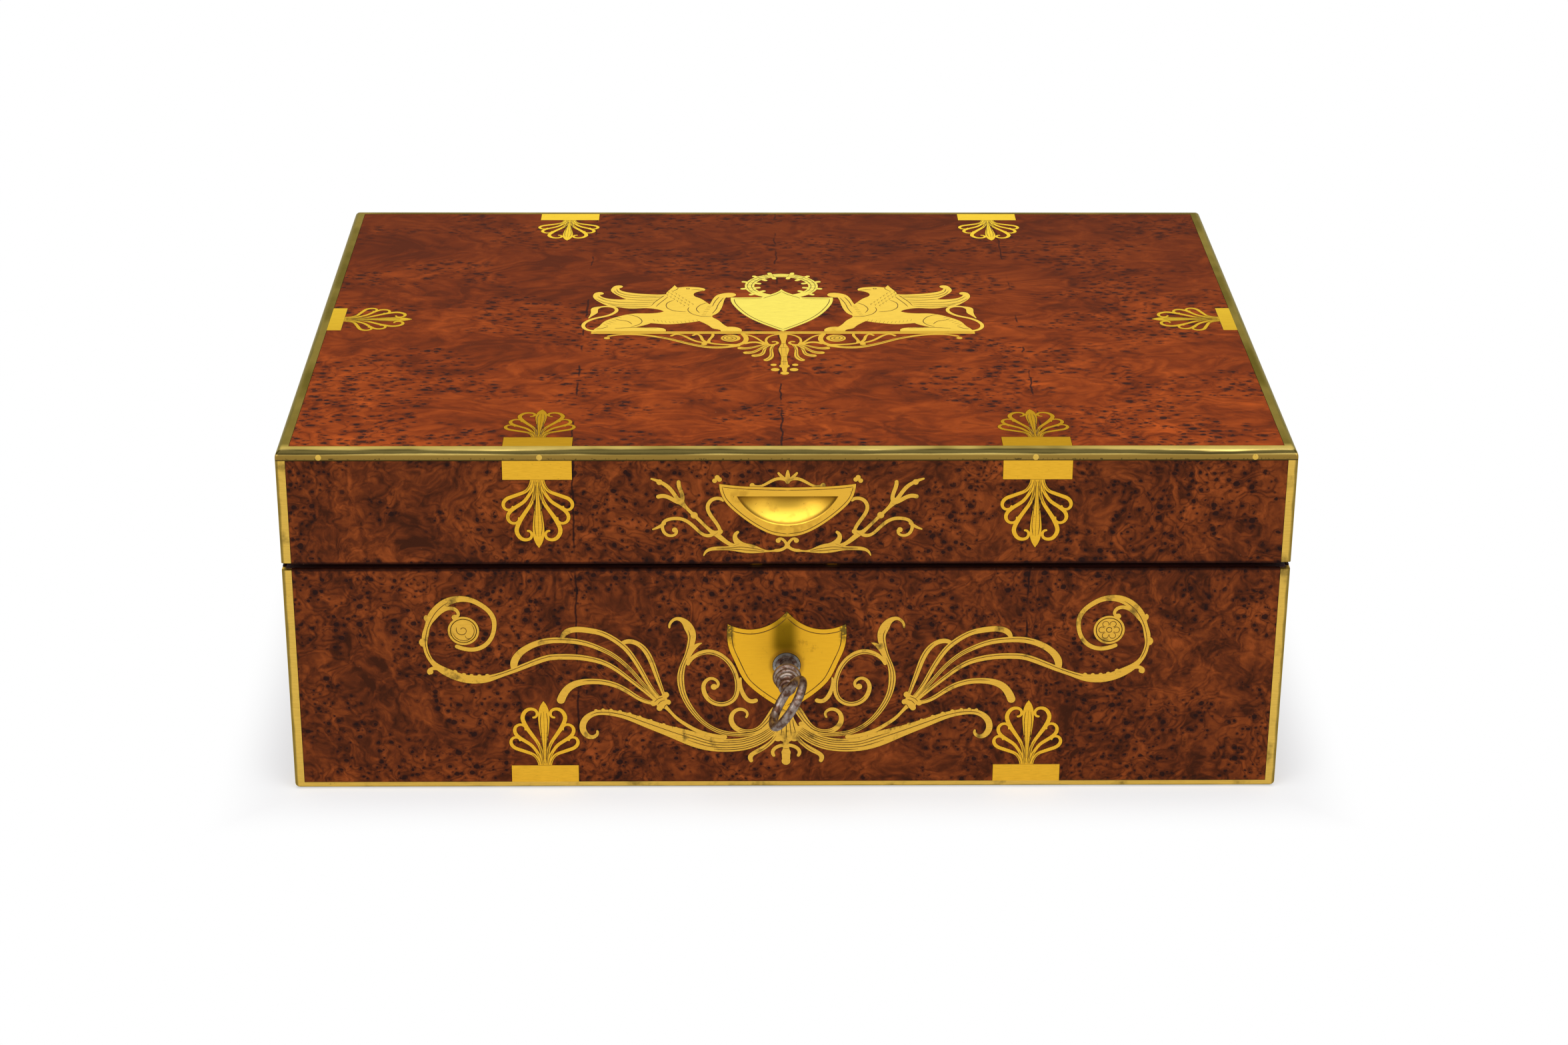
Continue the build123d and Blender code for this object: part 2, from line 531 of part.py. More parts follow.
pendant_strokes = [
    [(17.1, -18.8, 2.2), (15.8, -24.1, 2.2), (16.9, -28.8, 2.2), (19.8, -31.5, 2.2)],
    [(19.7, -32, 3.0), (23.4, -33.6, 2.4), (28.7, -34.4, 2.4), (34.5, -33.1, 2.2), (38.7, -30.9, 2.0),
     (44, -27.3, 1.9), (48.7, -24.1, 1.8), (54, -21.5, 1.7), (59.2, -19.6, 1.6), (64.5, -18.8, 1.4),
     (69.7, -19.1, 1.3), (74.4, -20.9, 1.3)],
    [(19.7, -31.2, 1.4), (24, -31, 1.4), (28.2, -30.4, 1.4), (31.3, -29.1, 1.4)],
    [(31.3, -29.1, 1.4), (31.7, -26.5, 1.4), (30.6, -22.5, 1.3), (30, -18.7, 1.3)],
    [(31.8, -28.6, 1.4), (34.5, -24.6, 1.4), (35.2, -21, 1.3), (36.7, -18.6, 1.3), (38.4, -19.9, 1.2)],
    [(32, -28.9, 1.4), (36.6, -27.3, 1.4), (39.7, -24.1, 1.4), (42.4, -20.4, 1.4), (45, -18.6, 1.3),
     (47.6, -20.4, 1.3)],
    [(1.5, -18.6, 1.2), (4.5, -19.9, 1.1), (6.6, -22.5, 1.1), (7.4, -25.7, 1.1), (6.6, -30.4, 1.2)],
    [(6.6, -30.4, 1.2), (9.2, -27.3, 1.1), (11.9, -22.5, 1.1), (14.5, -19.9, 1.1), (17.1, -18.8, 1.2)],
    [(8, -31, 1.6), (12.4, -28.2, 1.8), (16.1, -29.6, 1.8)],
    [(7, -31.5, 1.3), (11.9, -33.6, 1.6), (15.5, -35.4, 2.2), (18.2, -35.2, 2.8)],
    [(6.4, -32, 1.2), (10.3, -36.7, 1.6), (12.9, -39.9, 2.2), (15.8, -40.7, 2.8)],
    [(5.4, -32, 1.2), (8.2, -37.3, 1.5), (9.2, -42, 2.0), (12.4, -44.2, 2.7)],
    [(4.2, -32, 1.2), (5.3, -38.3, 1.5), (5.3, -44.6, 2.0), (7.4, -49.2, 2.6)],
    [(6.6, -30.8, 1.4), (3.3, -30.6, 1.3), (2.5, -28.9, 1.2), (3.2, -27.6, 1.1), (4.5, -27.7, 1.1)],
]
pendant_spots = [(22.4, -23.3, 4.2), (75, -23.2, 1.3), (4.5, -54.9, 1.3), (3.9, -60.4, 1.8),
                 (33.6, -30.4, 1.3)]
pendant_spindle = [
    (0, -17, 3.0), (0, -23, 3.0), (0, -30, 2.0), (0, -36, 4.4), (0, -42, 3.2), (0, -48, 2.4),
    (0, -53, 3.0), (0, -58, 2.4), (0, -62, 1.8),
]
pendant_middle_spots = [(0, -56.2, 2.2), (0, -64.4, 1.8)]


def griffin(grow=0.0):
    """Right griffin with its tail."""
    body = closed_outline(griffin_runs, grow)
    return unite([body] + [stroke(course, grow) for course in griffin_tail])


def crest_shield(grow=0.0):
    """Shield between the griffins with the leaf wreath behind it."""
    shield = closed_outline(mirrored_runs(crest_shield_half), grow)
    ring = disc(0, wreath_centre_y, wreath_outer, grow) - disc(0, wreath_centre_y, wreath_inner, -grow)
    leaves = []
    for angle in wreath_leaf_angles:
        aim = (math.sin(math.radians(angle)), math.cos(math.radians(angle)))
        ends = [(aim[0] * r, wreath_centre_y + aim[1] * r) for r in (wreath_leaf_start, wreath_leaf_end)]
        leaves.append(stroke(even(ends, wreath_leaf_width), grow))
    return ring + both_sides(unite(leaves)) + shield


def pendant(grow=0.0):
    """Bar under the griffins and the foliage that hangs from it."""
    bar_middle = (bar_top + bar_bottom) / 2
    bar = Pos(0, bar_middle) * Rectangle(2 * (bar_half_length + grow), bar_top - bar_bottom + 2 * grow)
    parts = [stroke(course, grow) for course in pendant_strokes]
    parts += [disc(x, y, radius, grow) for x, y, radius in pendant_spots]
    middle = [stroke(pendant_spindle, grow)]
    middle += [disc(x, y, radius, grow) for x, y, radius in pendant_middle_spots]
    return unite([bar] + middle) + both_sides(unite(parts))


# Where each drawing lies on its face

def base_front_palmettes(grow=0.0):
    """Pair of palmettes that stand on the bottom strip of the front."""
    one = Pos(0, strip_top + base_palmette_foot) * palmette(base_palmette_foot, grow)
    return Pos(-palmette_spacing / 2, 0) * one + Pos(palmette_spacing / 2, 0) * one


def base_side_palmette(grow=0.0):
    """Palmette in the middle of an end of the base."""
    return Pos(0, strip_top + base_palmette_foot) * palmette(base_palmette_foot, grow)


def lid_palmette(grow=0.0):
    """Palmette that hangs from the moulding of the lid."""
    return Pos(0, moulding_bottom - lid_palmette_foot) * Rot(0, 0, 180) * palmette(lid_palmette_foot, grow)


def lid_front_palmettes(grow=0.0):
    """Pair of hanging palmettes on the front of the lid."""
    one = lid_palmette(grow)
    return Pos(-palmette_spacing / 2, 0) * one + Pos(palmette_spacing / 2, 0) * one


def lid_top_palmettes(grow=0.0):
    """Six palmettes that point inwards from the edges of the lid top."""
    long_root = half_depth - moulding_width - top_palmette_foot
    side_root = half_width - moulding_width - top_side_palmette_foot
    long_one = palmette(top_palmette_foot, grow)
    side_one = palmette(top_side_palmette_foot, grow)
    drawing = Pos(side_root, 0) * Rot(0, 0, 90) * side_one
    drawing += Pos(-side_root, 0) * Rot(0, 0, -90) * side_one
    for x in (-palmette_spacing / 2, palmette_spacing / 2):
        drawing += Pos(x, -long_root) * long_one
        drawing += Pos(x, long_root) * Rot(0, 0, 180) * long_one
    return drawing


def placed_scroll(grow=0.0):
    """Front foliage at its height, cut back where the shield lies."""
    foliage = Pos(0, key_height) * front_scroll(grow)
    if grow:
        return foliage
    return foliage - Pos(0, key_height) * key_shield(inlay_gap)


def placed_sprigs(grow=0.0):
    """Foliage round the finger pull, cut back where the plate lies."""
    foliage = Pos(0, pull_lip_z) * pull_sprigs(grow)
    if grow:
        return foliage
    return foliage - Pos(0, pull_lip_z) * pull_plate(inlay_gap)


# Carcass of the base

def base_envelope():
    """Outside of the base with eased corners."""
    body = block(-half_width, half_width, -half_depth, half_depth, 0, base_height)
    body = fillet(body.edges().filter_by(Axis.Z), corner_round)
    low_ends = body.edges().filter_by(Axis.Y).group_by(Axis.Z)[0]
    return fillet(low_ends, base_end_round)


def lid_envelope():
    """Outside of the lid with eased corners and a rounded top edge."""
    body = block(-half_width, half_width, -half_depth, half_depth, lid_bottom, case_height)
    body = fillet(body.edges().filter_by(Axis.Z), corner_round)
    return fillet(body.faces().sort_by(Axis.Z)[-1].edges(), moulding_round)


lock_top = base_height
lock_bottom = base_height - lock_drop
lock_front = -board_y + lock_front_wood
lock_back = -inner_y
lock_cover_front = lock_back - lock_plate
lock_room_front = lock_front + lock_plate
bolt_back = lock_cover_front - lock_plate + bolt_side_gap / 2
bolt_front = bolt_back - bolt_thickness
staple_y = (bolt_front + bolt_back) / 2
hook_bottom = lid_bottom - staple_reach
hook_top = hook_bottom + staple_hook
beak_bottom = hook_top + beak_gap
beak_top = beak_bottom + beak_height
bolt_bar_top = hook_bottom - bar_below_hook
guide_z = bolt_bar_top - bolt_bar_height / 2
bolt_bar_bottom = bolt_bar_top - bolt_bar_height
throw_locked = bolt_throw * key_turn_to_locked / (key_turn_to_locked + key_turn_to_unlocked)
throw_unlocked = bolt_throw - throw_locked
cam_sweep = math.radians(key_turn_to_locked + key_turn_to_unlocked)
cam_rest = math.radians(key_turn_to_unlocked) - cam_sweep / 2
rest_lean = key_turn_to_unlocked
key_place = front_plane * Pos(0, key_height, veneer_thickness) * Rot(0, 0, -rest_lean)
hinge_axis_y = half_depth + knuckle_radius + knuckle_stand_off
hinge_axis_z = base_height + rim_gap / 2
leaf_thickness = (rim_gap - hinge_leaf_gap) / 2
leaf_front = inner_y + hinge_leaf_inset
leaf_back = half_depth
hinge_screw_y = (leaf_front + board_y) / 2


def hinge_screw_spots():
    """Places of the hinge screws along X."""
    third = hinge_length / 3
    return [side * hinge_spacing / 2 + step * third for side in (-1, 1) for step in (-1, 0, 1)]


def base_front_board():
    """Front wall of the base, with the lock's mortise and the keyhole."""
    board = block(-board_x, board_x, -board_y, -inner_y, 0, base_height)
    half = lock_width / 2 + lock_fit
    mortise = block(-half, half, lock_front, 0, lock_bottom - lock_fit, base_height + past)
    hole = rod_y(0, key_height, -board_y - past, 0, keyhole_radius)
    return (board - mortise - hole) & base_envelope()


def base_back_board():
    """Back wall of the base, with pilot holes for the hinge screws."""
    board = block(-board_x, board_x, inner_y, board_y, 0, base_height)
    for x in hinge_screw_spots():
        board -= rod(x, hinge_screw_y, base_height - screw_length, base_height + past, screw_radius)
    return board & base_envelope()


def base_end_board(side):
    """Left or right wall of the base."""
    x0, x1 = sorted((side * inner_x, side * board_x))
    return block(x0, x1, -inner_y, inner_y, 0, base_height) & base_envelope()


def base_bottom_board():
    """Bottom between the four walls."""
    return block(-inner_x, inner_x, -inner_y, inner_y, 0, bottom_board_thickness)


def base_panel(half_length):
    """Flat drawing of a veneered side of the base."""
    bottom = strip_top + inlay_gap
    height = base_height - bottom
    return Pos(0, bottom + height / 2) * Rectangle(2 * (half_length - face_margin), height)


def lid_panel(half_length):
    """Flat drawing of a veneered side of the lid."""
    top = moulding_bottom - inlay_gap
    height = top - lid_bottom
    return Pos(0, lid_bottom + height / 2) * Rectangle(2 * (half_length - face_margin), height)


def base_front_veneer():
    """Front veneer of the base, sawn out for its inlay."""
    panel = base_panel(half_width)
    panel -= placed_scroll(inlay_gap)
    panel -= Pos(0, key_height) * key_shield(inlay_gap)
    panel -= base_front_palmettes(inlay_gap)
    return inlay(panel, front_plane)


def base_end_veneer(plane):
    """Veneer on an end of the base."""
    return inlay(base_panel(half_depth) - base_side_palmette(inlay_gap), plane)


def four_corners(z0, z1):
    """Angle strips that cover the four upright corners between two heights."""
    strips = []
    reach = corner_strip_width
    for x_side in (-1, 1):
        for y_side in (-1, 1):
            x0, x1 = sorted((x_side * half_width, x_side * (half_width - reach)))
            y0, y1 = sorted((y_side * half_depth, y_side * (half_depth - reach)))
            bar = block(x0, x1, y0, y1, z0, z1)
            strips.append(bar - block(-board_x, board_x, -board_y, board_y, z0 - past, z1 + past))
    return strips


def base_corner_strips():
    """Brass angle strips of the base."""
    envelope = base_envelope()
    strips = four_corners(bottom_strip_lift, base_height - strip_end_gap)
    return Compound([strip & envelope for strip in strips])


def base_bottom_strips():
    """Brass strips along the foot of the four sides."""
    envelope = base_envelope()
    long_x = half_width - corner_strip_width
    long_y = half_depth - corner_strip_width
    strips = [
        block(-long_x, long_x, -half_depth, -board_y, bottom_strip_lift, strip_top),
        block(-long_x, long_x, board_y, half_depth, bottom_strip_lift, strip_top),
        block(-half_width, -board_x, -long_y, long_y, bottom_strip_lift, strip_top),
        block(board_x, half_width, -long_y, long_y, bottom_strip_lift, strip_top),
    ]
    return Compound([strip & envelope for strip in strips])


def escutcheon_shield():
    """Brass shield with the keyhole through it."""
    sketch = Pos(0, key_height) * (key_shield() - Circle(keyhole_radius))
    return inlay(sketch, front_plane)


# Carcass of the lid

def lid_front_board():
    """Front wall of the lid, hollowed for the finger pull and the link plate."""
    board = block(-board_x, board_x, -board_y, -lid_inner_y, lid_bottom, lid_ceiling)
    half = link_plate_width / 2 + running_fit
    y0, y1 = link_plate_y()
    board -= block(-half, half, y0 - running_fit, y1 + running_fit, lid_bottom - past,
                   lid_bottom + link_plate_thickness)
    for x in link_screw_spots():
        board -= rod(x, staple_y, lid_bottom, lid_bottom + screw_length + leaf_thickness, screw_radius)
    return board - pull_scoop(pull_shell + pull_fit)


def lid_back_board():
    """Back wall of the lid with pilot holes for the hinge screws."""
    board = block(-board_x, board_x, lid_inner_y, board_y, lid_bottom, lid_ceiling)
    for x in hinge_screw_spots():
        board -= rod(x, hinge_screw_y, lid_bottom - past, lid_bottom + screw_length, screw_radius)
    return board


def lid_end_board(side):
    """Left or right wall of the lid."""
    x0, x1 = sorted((side * lid_inner_x, side * board_x))
    return block(x0, x1, -lid_inner_y, lid_inner_y, lid_bottom, lid_ceiling)


def lid_top_board():
    """Top of the lid, on its four walls, with holes for the moulding pins and mirror screws."""
    board = block(-board_x, board_x, -board_y, board_y, lid_ceiling, case_height - veneer_thickness)
    for pin in moulding_pin_list():
        board -= pin
    for x, y in mirror_screw_spots():
        board -= rod(x, y, lid_ceiling - past, mirror_screw_top, screw_radius)
    return board


def lid_corner_strips():
    """Brass angle strips of the lid."""
    envelope = lid_envelope()
    strips = four_corners(lid_bottom + strip_end_gap, moulding_bottom)
    return Compound([strip & envelope for strip in strips])


def moulding_pin_list():
    """Pins that hold the moulding, driven in from all four sides."""
    z = case_height - pin_drop
    long_spots = (pin_middle_spot, half_width - pin_corner_inset)
    pins = []
    for side in (-1, 1):
        for x in [s * spot for spot in long_spots for s in (-1, 1)]:
            y0, y1 = sorted((side * half_depth, side * (half_depth - pin_length)))
            pins.append(rod_y(x, z, y0, y1, pin_radius))
        for y in (-pin_end_spot, pin_end_spot):
            x0, x1 = sorted((side * half_width, side * (half_width - pin_length)))
            pins.append(rod_x(y, z, x0, x1, pin_radius))
    return pins


def lid_top_moulding():
    """Rounded brass moulding round the top edge, mitred at the corners."""
    ring = block(-half_width, half_width, -half_depth, half_depth, moulding_bottom, case_height)
    long_x, long_y = half_width - moulding_width, half_depth - moulding_width
    ring -= block(-long_x, long_x, -long_y, long_y, moulding_bottom - past, case_height + past)
    ring -= block(-board_x, board_x, -board_y, board_y, 0, case_height - veneer_thickness)
    ring = ring & lid_envelope()
    for pin in moulding_pin_list():
        ring -= pin
    pieces = []
    mitre = moulding_width
    for angle, reach, half_run in ((0, half_depth, half_width), (90, half_width, half_depth),
                                   (180, half_depth, half_width), (270, half_width, half_depth)):
        corners = [(-half_run, -reach), (half_run, -reach), (half_run - mitre, -reach + mitre),
                   (-half_run + mitre, -reach + mitre)]
        wedge = extrude(make_face(Polyline(*corners, close=True)), amount=case_height + past, dir=(0, 0, 1))
        pieces.append(ring & (Rot(0, 0, angle) * wedge))
    return Compound([solid for piece in pieces for solid in piece.solids()])


def lid_front_veneer():
    """Front veneer of the lid, sawn out for the finger pull and its foliage."""
    panel = lid_panel(half_width)
    panel -= placed_sprigs(inlay_gap)
    panel -= Pos(0, pull_lip_z) * pull_plate(inlay_gap)
    panel -= lid_front_palmettes(inlay_gap)
    return inlay(panel, front_plane)


def lid_end_veneer(plane):
    """Veneer on an end of the lid."""
    return inlay(lid_panel(half_depth) - lid_palmette(inlay_gap), plane)


def lid_top_veneer():
    """Top veneer, sawn out for the griffins, crest, pendant and palmettes."""
    margin = moulding_width + inlay_gap
    panel = Rectangle(2 * (half_width - margin), 2 * (half_depth - margin))
    panel -= both_sides(griffin(inlay_gap))
    panel -= crest_shield(inlay_gap)
    panel -= pendant(inlay_gap)
    panel -= lid_top_palmettes(inlay_gap)
    return inlay(panel, top_plane)


def lid_palmette_inlays():
    """All palmettes of the lid."""
    pieces = [inlay(lid_front_palmettes(), front_plane), inlay(lid_top_palmettes(), top_plane)]
    pieces += [inlay(lid_palmette(), plane) for plane in (left_plane, right_plane)]
    return Compound([solid for piece in pieces for solid in piece.solids()])


def base_palmette_inlays():
    """All palmettes of the base."""
    pieces = [inlay(base_front_palmettes(), front_plane)]
    pieces += [inlay(base_side_palmette(), plane) for plane in (left_plane, right_plane)]
    return Compound([solid for piece in pieces for solid in piece.solids()])


# Finger pull

def pull_scoop(grow=0.0):
    """Ball-shaped scoop under a straight lip; grow widens it for the shell and its pocket."""
    half = pull_recess_width / 2
    edge_radius = (half ** 2 + pull_recess_drop ** 2) / (2 * pull_recess_drop)
    rise = edge_radius - pull_recess_drop
    gain = edge_radius ** 2 - rise ** 2 - pull_recess_depth ** 2
    ball_offset = gain / (2 * pull_recess_depth)
    ball_radius = math.hypot(ball_offset, edge_radius)
    centre = Pos(0, -half_depth - ball_offset, pull_lip_z + rise)
    ball = centre * Sphere(ball_radius + grow)
    reach = ball_radius + grow
    keep = block(-reach, reach, -half_depth, -half_depth + reach, pull_lip_z - reach, pull_lip_z + grow)
    return ball & keep


def finger_pull():
    """Brass plate with its dished finger recess."""
    plate = inlay(Pos(0, pull_lip_z) * pull_plate(), front_plane)
    return (plate + pull_scoop(pull_shell)) - pull_scoop()


# Lock

def lock_case():
    """Open box of the lock: front plate, walls, guide studs and slotted top plate."""
    half = lock_width / 2
    body = block(-half, half, lock_front, lock_cover_front, lock_bottom, lock_top)
    body -= block(-half + lock_plate, half - lock_plate, lock_room_front, lock_cover_front + past,
                  lock_bottom + lock_plate, lock_top - lock_plate)
    body -= rod_y(0, key_height, lock_front - past, lock_cover_front, nozzle_radius + running_fit)
    for x in (-guide_spacing / 2, guide_spacing / 2):
        body += rod_y(x, guide_z, lock_front, bolt_back, guide_radius)
    for foot_x in staple_foot_spots():
        x0, x1 = foot_x - beak_gap, foot_x + staple_foot + staple_leg + beak_gap
        y_half = bolt_thickness / 2 + hook_slot_gap
        body -= block(x0, x1, staple_y - y_half, staple_y + y_half, lock_top - lock_plate - past,
                      lock_top + past)
    for x, z in lock_screw_spots():
        body -= rod_y(x, z, lock_front - past, lock_cover_front, lock_screw_radius)
    return body


def lock_screw_spots():
    """Places of the four lock cover screws as (x, z)."""
    x = lock_width / 2 - lock_screw_inset
    heights = (lock_bottom + lock_screw_inset, key_height + lock_screw_above_key)
    return [(side * x, z) for side in (-1, 1) for z in heights]


def staple_foot_spots():
    """Left ends of the two hooks that hang from the lid."""
    return [staple_first_foot, staple_first_foot - staple_spacing]


def lock_cover():
    """Plate that closes the lock on the inside."""
    half = lock_width / 2
    plate = block(-half, half, lock_cover_front, lock_back, lock_bottom, lock_top)
    for x, z in lock_screw_spots():
        plate -= rod_y(x, z, lock_cover_front - past, lock_back + past, lock_screw_radius + running_fit)
        plate -= rod_y(x, z, lock_back - screw_head_depth, lock_back + past, screw_head_radius + running_fit)
    return plate


def lock_nozzle():
    """Steel ring round the plug."""
    ring = rod_y(0, key_height, -half_depth - nozzle_proud, lock_room_front, nozzle_radius)
    return ring - rod_y(0, key_height, -half_depth - past, 0, nozzle_bore)


def lock_bolt():
    """Sliding bolt: two beaks, a guided bar and a tail moved by the plug."""
    bar_left = staple_foot_spots()[1] - beak_gap - beak_stem_back
    bar_right = guide_spacing / 2 + guide_radius + throw_locked + bolt_end_margin
    plan = block(bar_left, bar_right, bolt_front, bolt_back, bolt_bar_bottom, bolt_bar_top)
    for foot_x in staple_foot_spots():
        tip = foot_x - beak_gap
        stem = foot_x - throw_locked - 2 * running_fit
        back = tip - beak_stem_back
        plan += block(back, stem, bolt_front, bolt_back, bolt_bar_top, beak_top)
        plan += block(back, tip, bolt_front, bolt_back, beak_bottom, beak_top)
    plan += block(-tail_half, tail_half, bolt_front, bolt_back, key_height - tail_below_key, bolt_bar_bottom)
    slot_x = bolt_throw / cam_sweep * cam_rest
    slot_half = cam_pin_radius + cam_slack
    low = key_height + cam_radius * math.cos(cam_sweep / 2) - slot_half
    high = key_height + cam_radius + slot_half
    plan -= block(slot_x - slot_half, slot_x + slot_half, bolt_front - past, bolt_back + past, low, high)
    for x in (-guide_spacing / 2, guide_spacing / 2):
        reach = guide_radius + running_fit
        left = x - throw_locked - reach - guide_slack
        right = x + throw_unlocked + reach + guide_slack
        plan -= block(left, right, bolt_front - past, bolt_back + past, guide_z - reach, guide_z + reach)
    return plan


def key_barrel():
    """Plug with its keyway, and the cam disc and pin that move the bolt."""
    face = -plug_recess
    room = -half_depth - lock_room_front
    disc_front = room - cam_disc_gap
    disc_back = disc_front - cam_disc_thickness
    radius = nozzle_bore - plug_clearance
    body = rod(0, 0, disc_front, face, radius) + rod(0, 0, disc_back, disc_front, cam_disc_radius)
    keyway_bottom = face - keyway_depth
    body -= rod(0, 0, keyway_bottom, face + past, key_shank_radius + key_fit)
    slot_half = key_bit_thickness / 2 + key_fit
    body -= block(-slot_half, slot_half, -key_bit_reach - key_fit, 0, keyway_bottom, face + past)
    pin_end = -half_depth - bolt_back - cam_pin_end_gap
    pin_angle = Rot(0, 0, rest_lean - math.degrees(cam_rest))
    pin = pin_angle * rod(0, cam_radius, pin_end, disc_back, cam_pin_radius)
    return key_place * (body + pin)


def key():
    """Key with a ring bow, turned collars, shank and bit."""
    tip = -plug_recess - keyway_depth
    shoulder = -plug_recess + key_shoulder_gap
    stem_end = bow_centre - bow_radius
    first_collar, last_collar = key_collar_arcs[0][0], key_collar_arcs[-1][-1]
    neck_radius = first_collar[0]
    profile = [
        Line((0, tip), (key_shank_radius, tip)),
        Line((key_shank_radius, tip), (key_shank_radius, shoulder)),
        Line((key_shank_radius, shoulder), (neck_radius, shoulder)),
        Line((neck_radius, shoulder), first_collar),
    ]
    profile += [ThreePointArc(*arc) for arc in key_collar_arcs]
    profile += [
        Line(last_collar, (key_stem_radius, stem_end)),
        Line((key_stem_radius, stem_end), (0, stem_end)),
        Line((0, stem_end), (0, tip)),
    ]
    stem = revolve(Plane.XZ * make_face(profile), axis=Axis.Z)
    bow = Pos(0, 0, bow_centre) * Rot(0, 90, 0) * Torus(bow_radius, bow_wire)
    half = key_bit_thickness / 2
    bit = block(-half, half, -key_bit_reach, 0, tip, -plug_recess - key_bit_front_gap)
    return key_place * (stem + bow + bit)


def link_plate_y():
    """Front and back edge of the link plate."""
    return staple_y - link_plate_depth / 2, staple_y + link_plate_depth / 2


def link_screw_spots():
    """Places of the two link plate screws along X."""
    x = link_plate_width / 2 - link_screw_inset
    return [-x, x]


def link_plate():
    """Plate in the lid with the two hooks that the bolt holds."""
    half = link_plate_width / 2
    y0, y1 = link_plate_y()
    plate_top = lid_bottom + link_plate_thickness
    plate = block(-half, half, y0, y1, lid_bottom, plate_top)
    head_end = lid_bottom + screw_head_depth
    for x in link_screw_spots():
        plate -= rod(x, staple_y, lid_bottom - past, plate_top + past, screw_radius + running_fit)
        plate -= rod(x, staple_y, lid_bottom - past, head_end, screw_head_radius + running_fit)
    for foot_x in staple_foot_spots():
        leg = foot_x + staple_foot
        y_half = bolt_thickness / 2
        plate += block(leg, leg + staple_leg, staple_y - y_half, staple_y + y_half, hook_bottom, lid_bottom)
        plate += block(foot_x, leg, staple_y - y_half, staple_y + y_half, hook_bottom, hook_top)
    return plate


# Hinges

def hinge_screw(x, y, z, direction):
    """Countersunk screw whose flat head ends at z; direction 1 drives it up and -1 down."""
    head_z0, head_z1 = sorted((z, z + direction * screw_head_depth))
    stem_z0, stem_z1 = sorted((z, z + direction * (screw_length + leaf_thickness)))
    screw = rod(x, y, stem_z0, stem_z1, screw_radius - 2 * running_fit)
    return screw + rod(x, y, head_z0, head_z1, screw_head_radius)


def knuckles(centre_x, owner):
    """Barrel lengths of one hinge that belong to the base (0) or the lid (1)."""
    pitch = hinge_length / knuckle_count
    start = centre_x - hinge_length / 2
    spans = []
    for i in range(knuckle_count):
        if i % 2 == owner:
            spans.append((start + i * pitch + knuckle_gap / 2, start + (i + 1) * pitch - knuckle_gap / 2))
    return spans


def hinge_leaf(centre_x, owner):
    """One hinge leaf with its knuckles; owner 0 lies on the base and 1 under the lid."""
    if owner == 0:
        z0, z1 = base_height, base_height + leaf_thickness
    else:
        z0, z1 = lid_bottom - leaf_thickness, lid_bottom
    leaf = block(centre_x - hinge_length / 2, centre_x + hinge_length / 2, leaf_front, leaf_back, z0, z1)
    for x0, x1 in knuckles(centre_x, owner):
        leaf += block(x0, x1, board_y, hinge_axis_y, z0, z1)
        leaf += rod_x(hinge_axis_y, hinge_axis_z, x0, x1, knuckle_radius)
    leaf -= rod_x(hinge_axis_y, hinge_axis_z, centre_x - hinge_length, centre_x + hinge_length,
                  hinge_pin_radius + running_fit)
    head_z, into = (z1, -1) if owner == 0 else (z0, 1)
    for x in hinge_screw_spots():
        leaf -= rod(x, hinge_screw_y, z0 - past, z1 + past, screw_radius + running_fit)
        deep = sorted((head_z - into * past, head_z + into * screw_head_depth))
        leaf -= rod(x, hinge_screw_y, deep[0], deep[1], screw_head_radius + running_fit)
    return leaf


def hinge_leaves(owner):
    """Both hinge leaves of the base or the lid."""
    leaves = [hinge_leaf(side * hinge_spacing / 2, owner) for side in (-1, 1)]
    return Compound([solid for leaf in leaves for solid in leaf.solids()])


def hinge_pins():
    """Hinge pins as long as the barrels."""
    pins = []
    for side in (-1, 1):
        x = side * hinge_spacing / 2
        pins.append(rod_x(hinge_axis_y, hinge_axis_z, x - hinge_length / 2, x + hinge_length / 2,
                          hinge_pin_radius))
    return Compound(pins)


def base_screws():
    """Hinge screws of the base and the screws of the lock cover."""
    screws = [hinge_screw(x, hinge_screw_y, base_height + leaf_thickness, -1) for x in hinge_screw_spots()]
    for x, z in lock_screw_spots():
        stem = rod_y(x, z, lock_front, lock_back, lock_screw_radius - running_fit)
        screws.append(stem + rod_y(x, z, lock_back - screw_head_depth, lock_back, screw_head_radius))
    return Compound([screw.solids()[0] for screw in screws])


def lid_screws():
    """Hinge screws of the lid, link plate screws and mirror frame screws."""
    screws = [hinge_screw(x, hinge_screw_y, lid_bottom - leaf_thickness, 1) for x in hinge_screw_spots()]
    screws += [hinge_screw(x, staple_y, lid_bottom, 1) for x in link_screw_spots()]
    for x, y in mirror_screw_spots():
        stem = rod(x, y, mirror_bottom, mirror_screw_top, screw_radius - 2 * running_fit)
        screws.append(stem + rod(x, y, mirror_bottom, mirror_bottom + screw_head_depth, screw_head_radius))
    return Compound([screw.solids()[0] for screw in screws])


# Mirror and linings

def mirror_screw_spots():
    """Places of the four mirror frame screws."""
    x = mirror_width / 2 - (mirror_frame_width - mirror_rebate) / 2
    y = mirror_depth / 2 - (mirror_frame_width - mirror_rebate) / 2
    return [(sx * x, sy * y) for sx in (-1, 1) for sy in (-1, 1)]


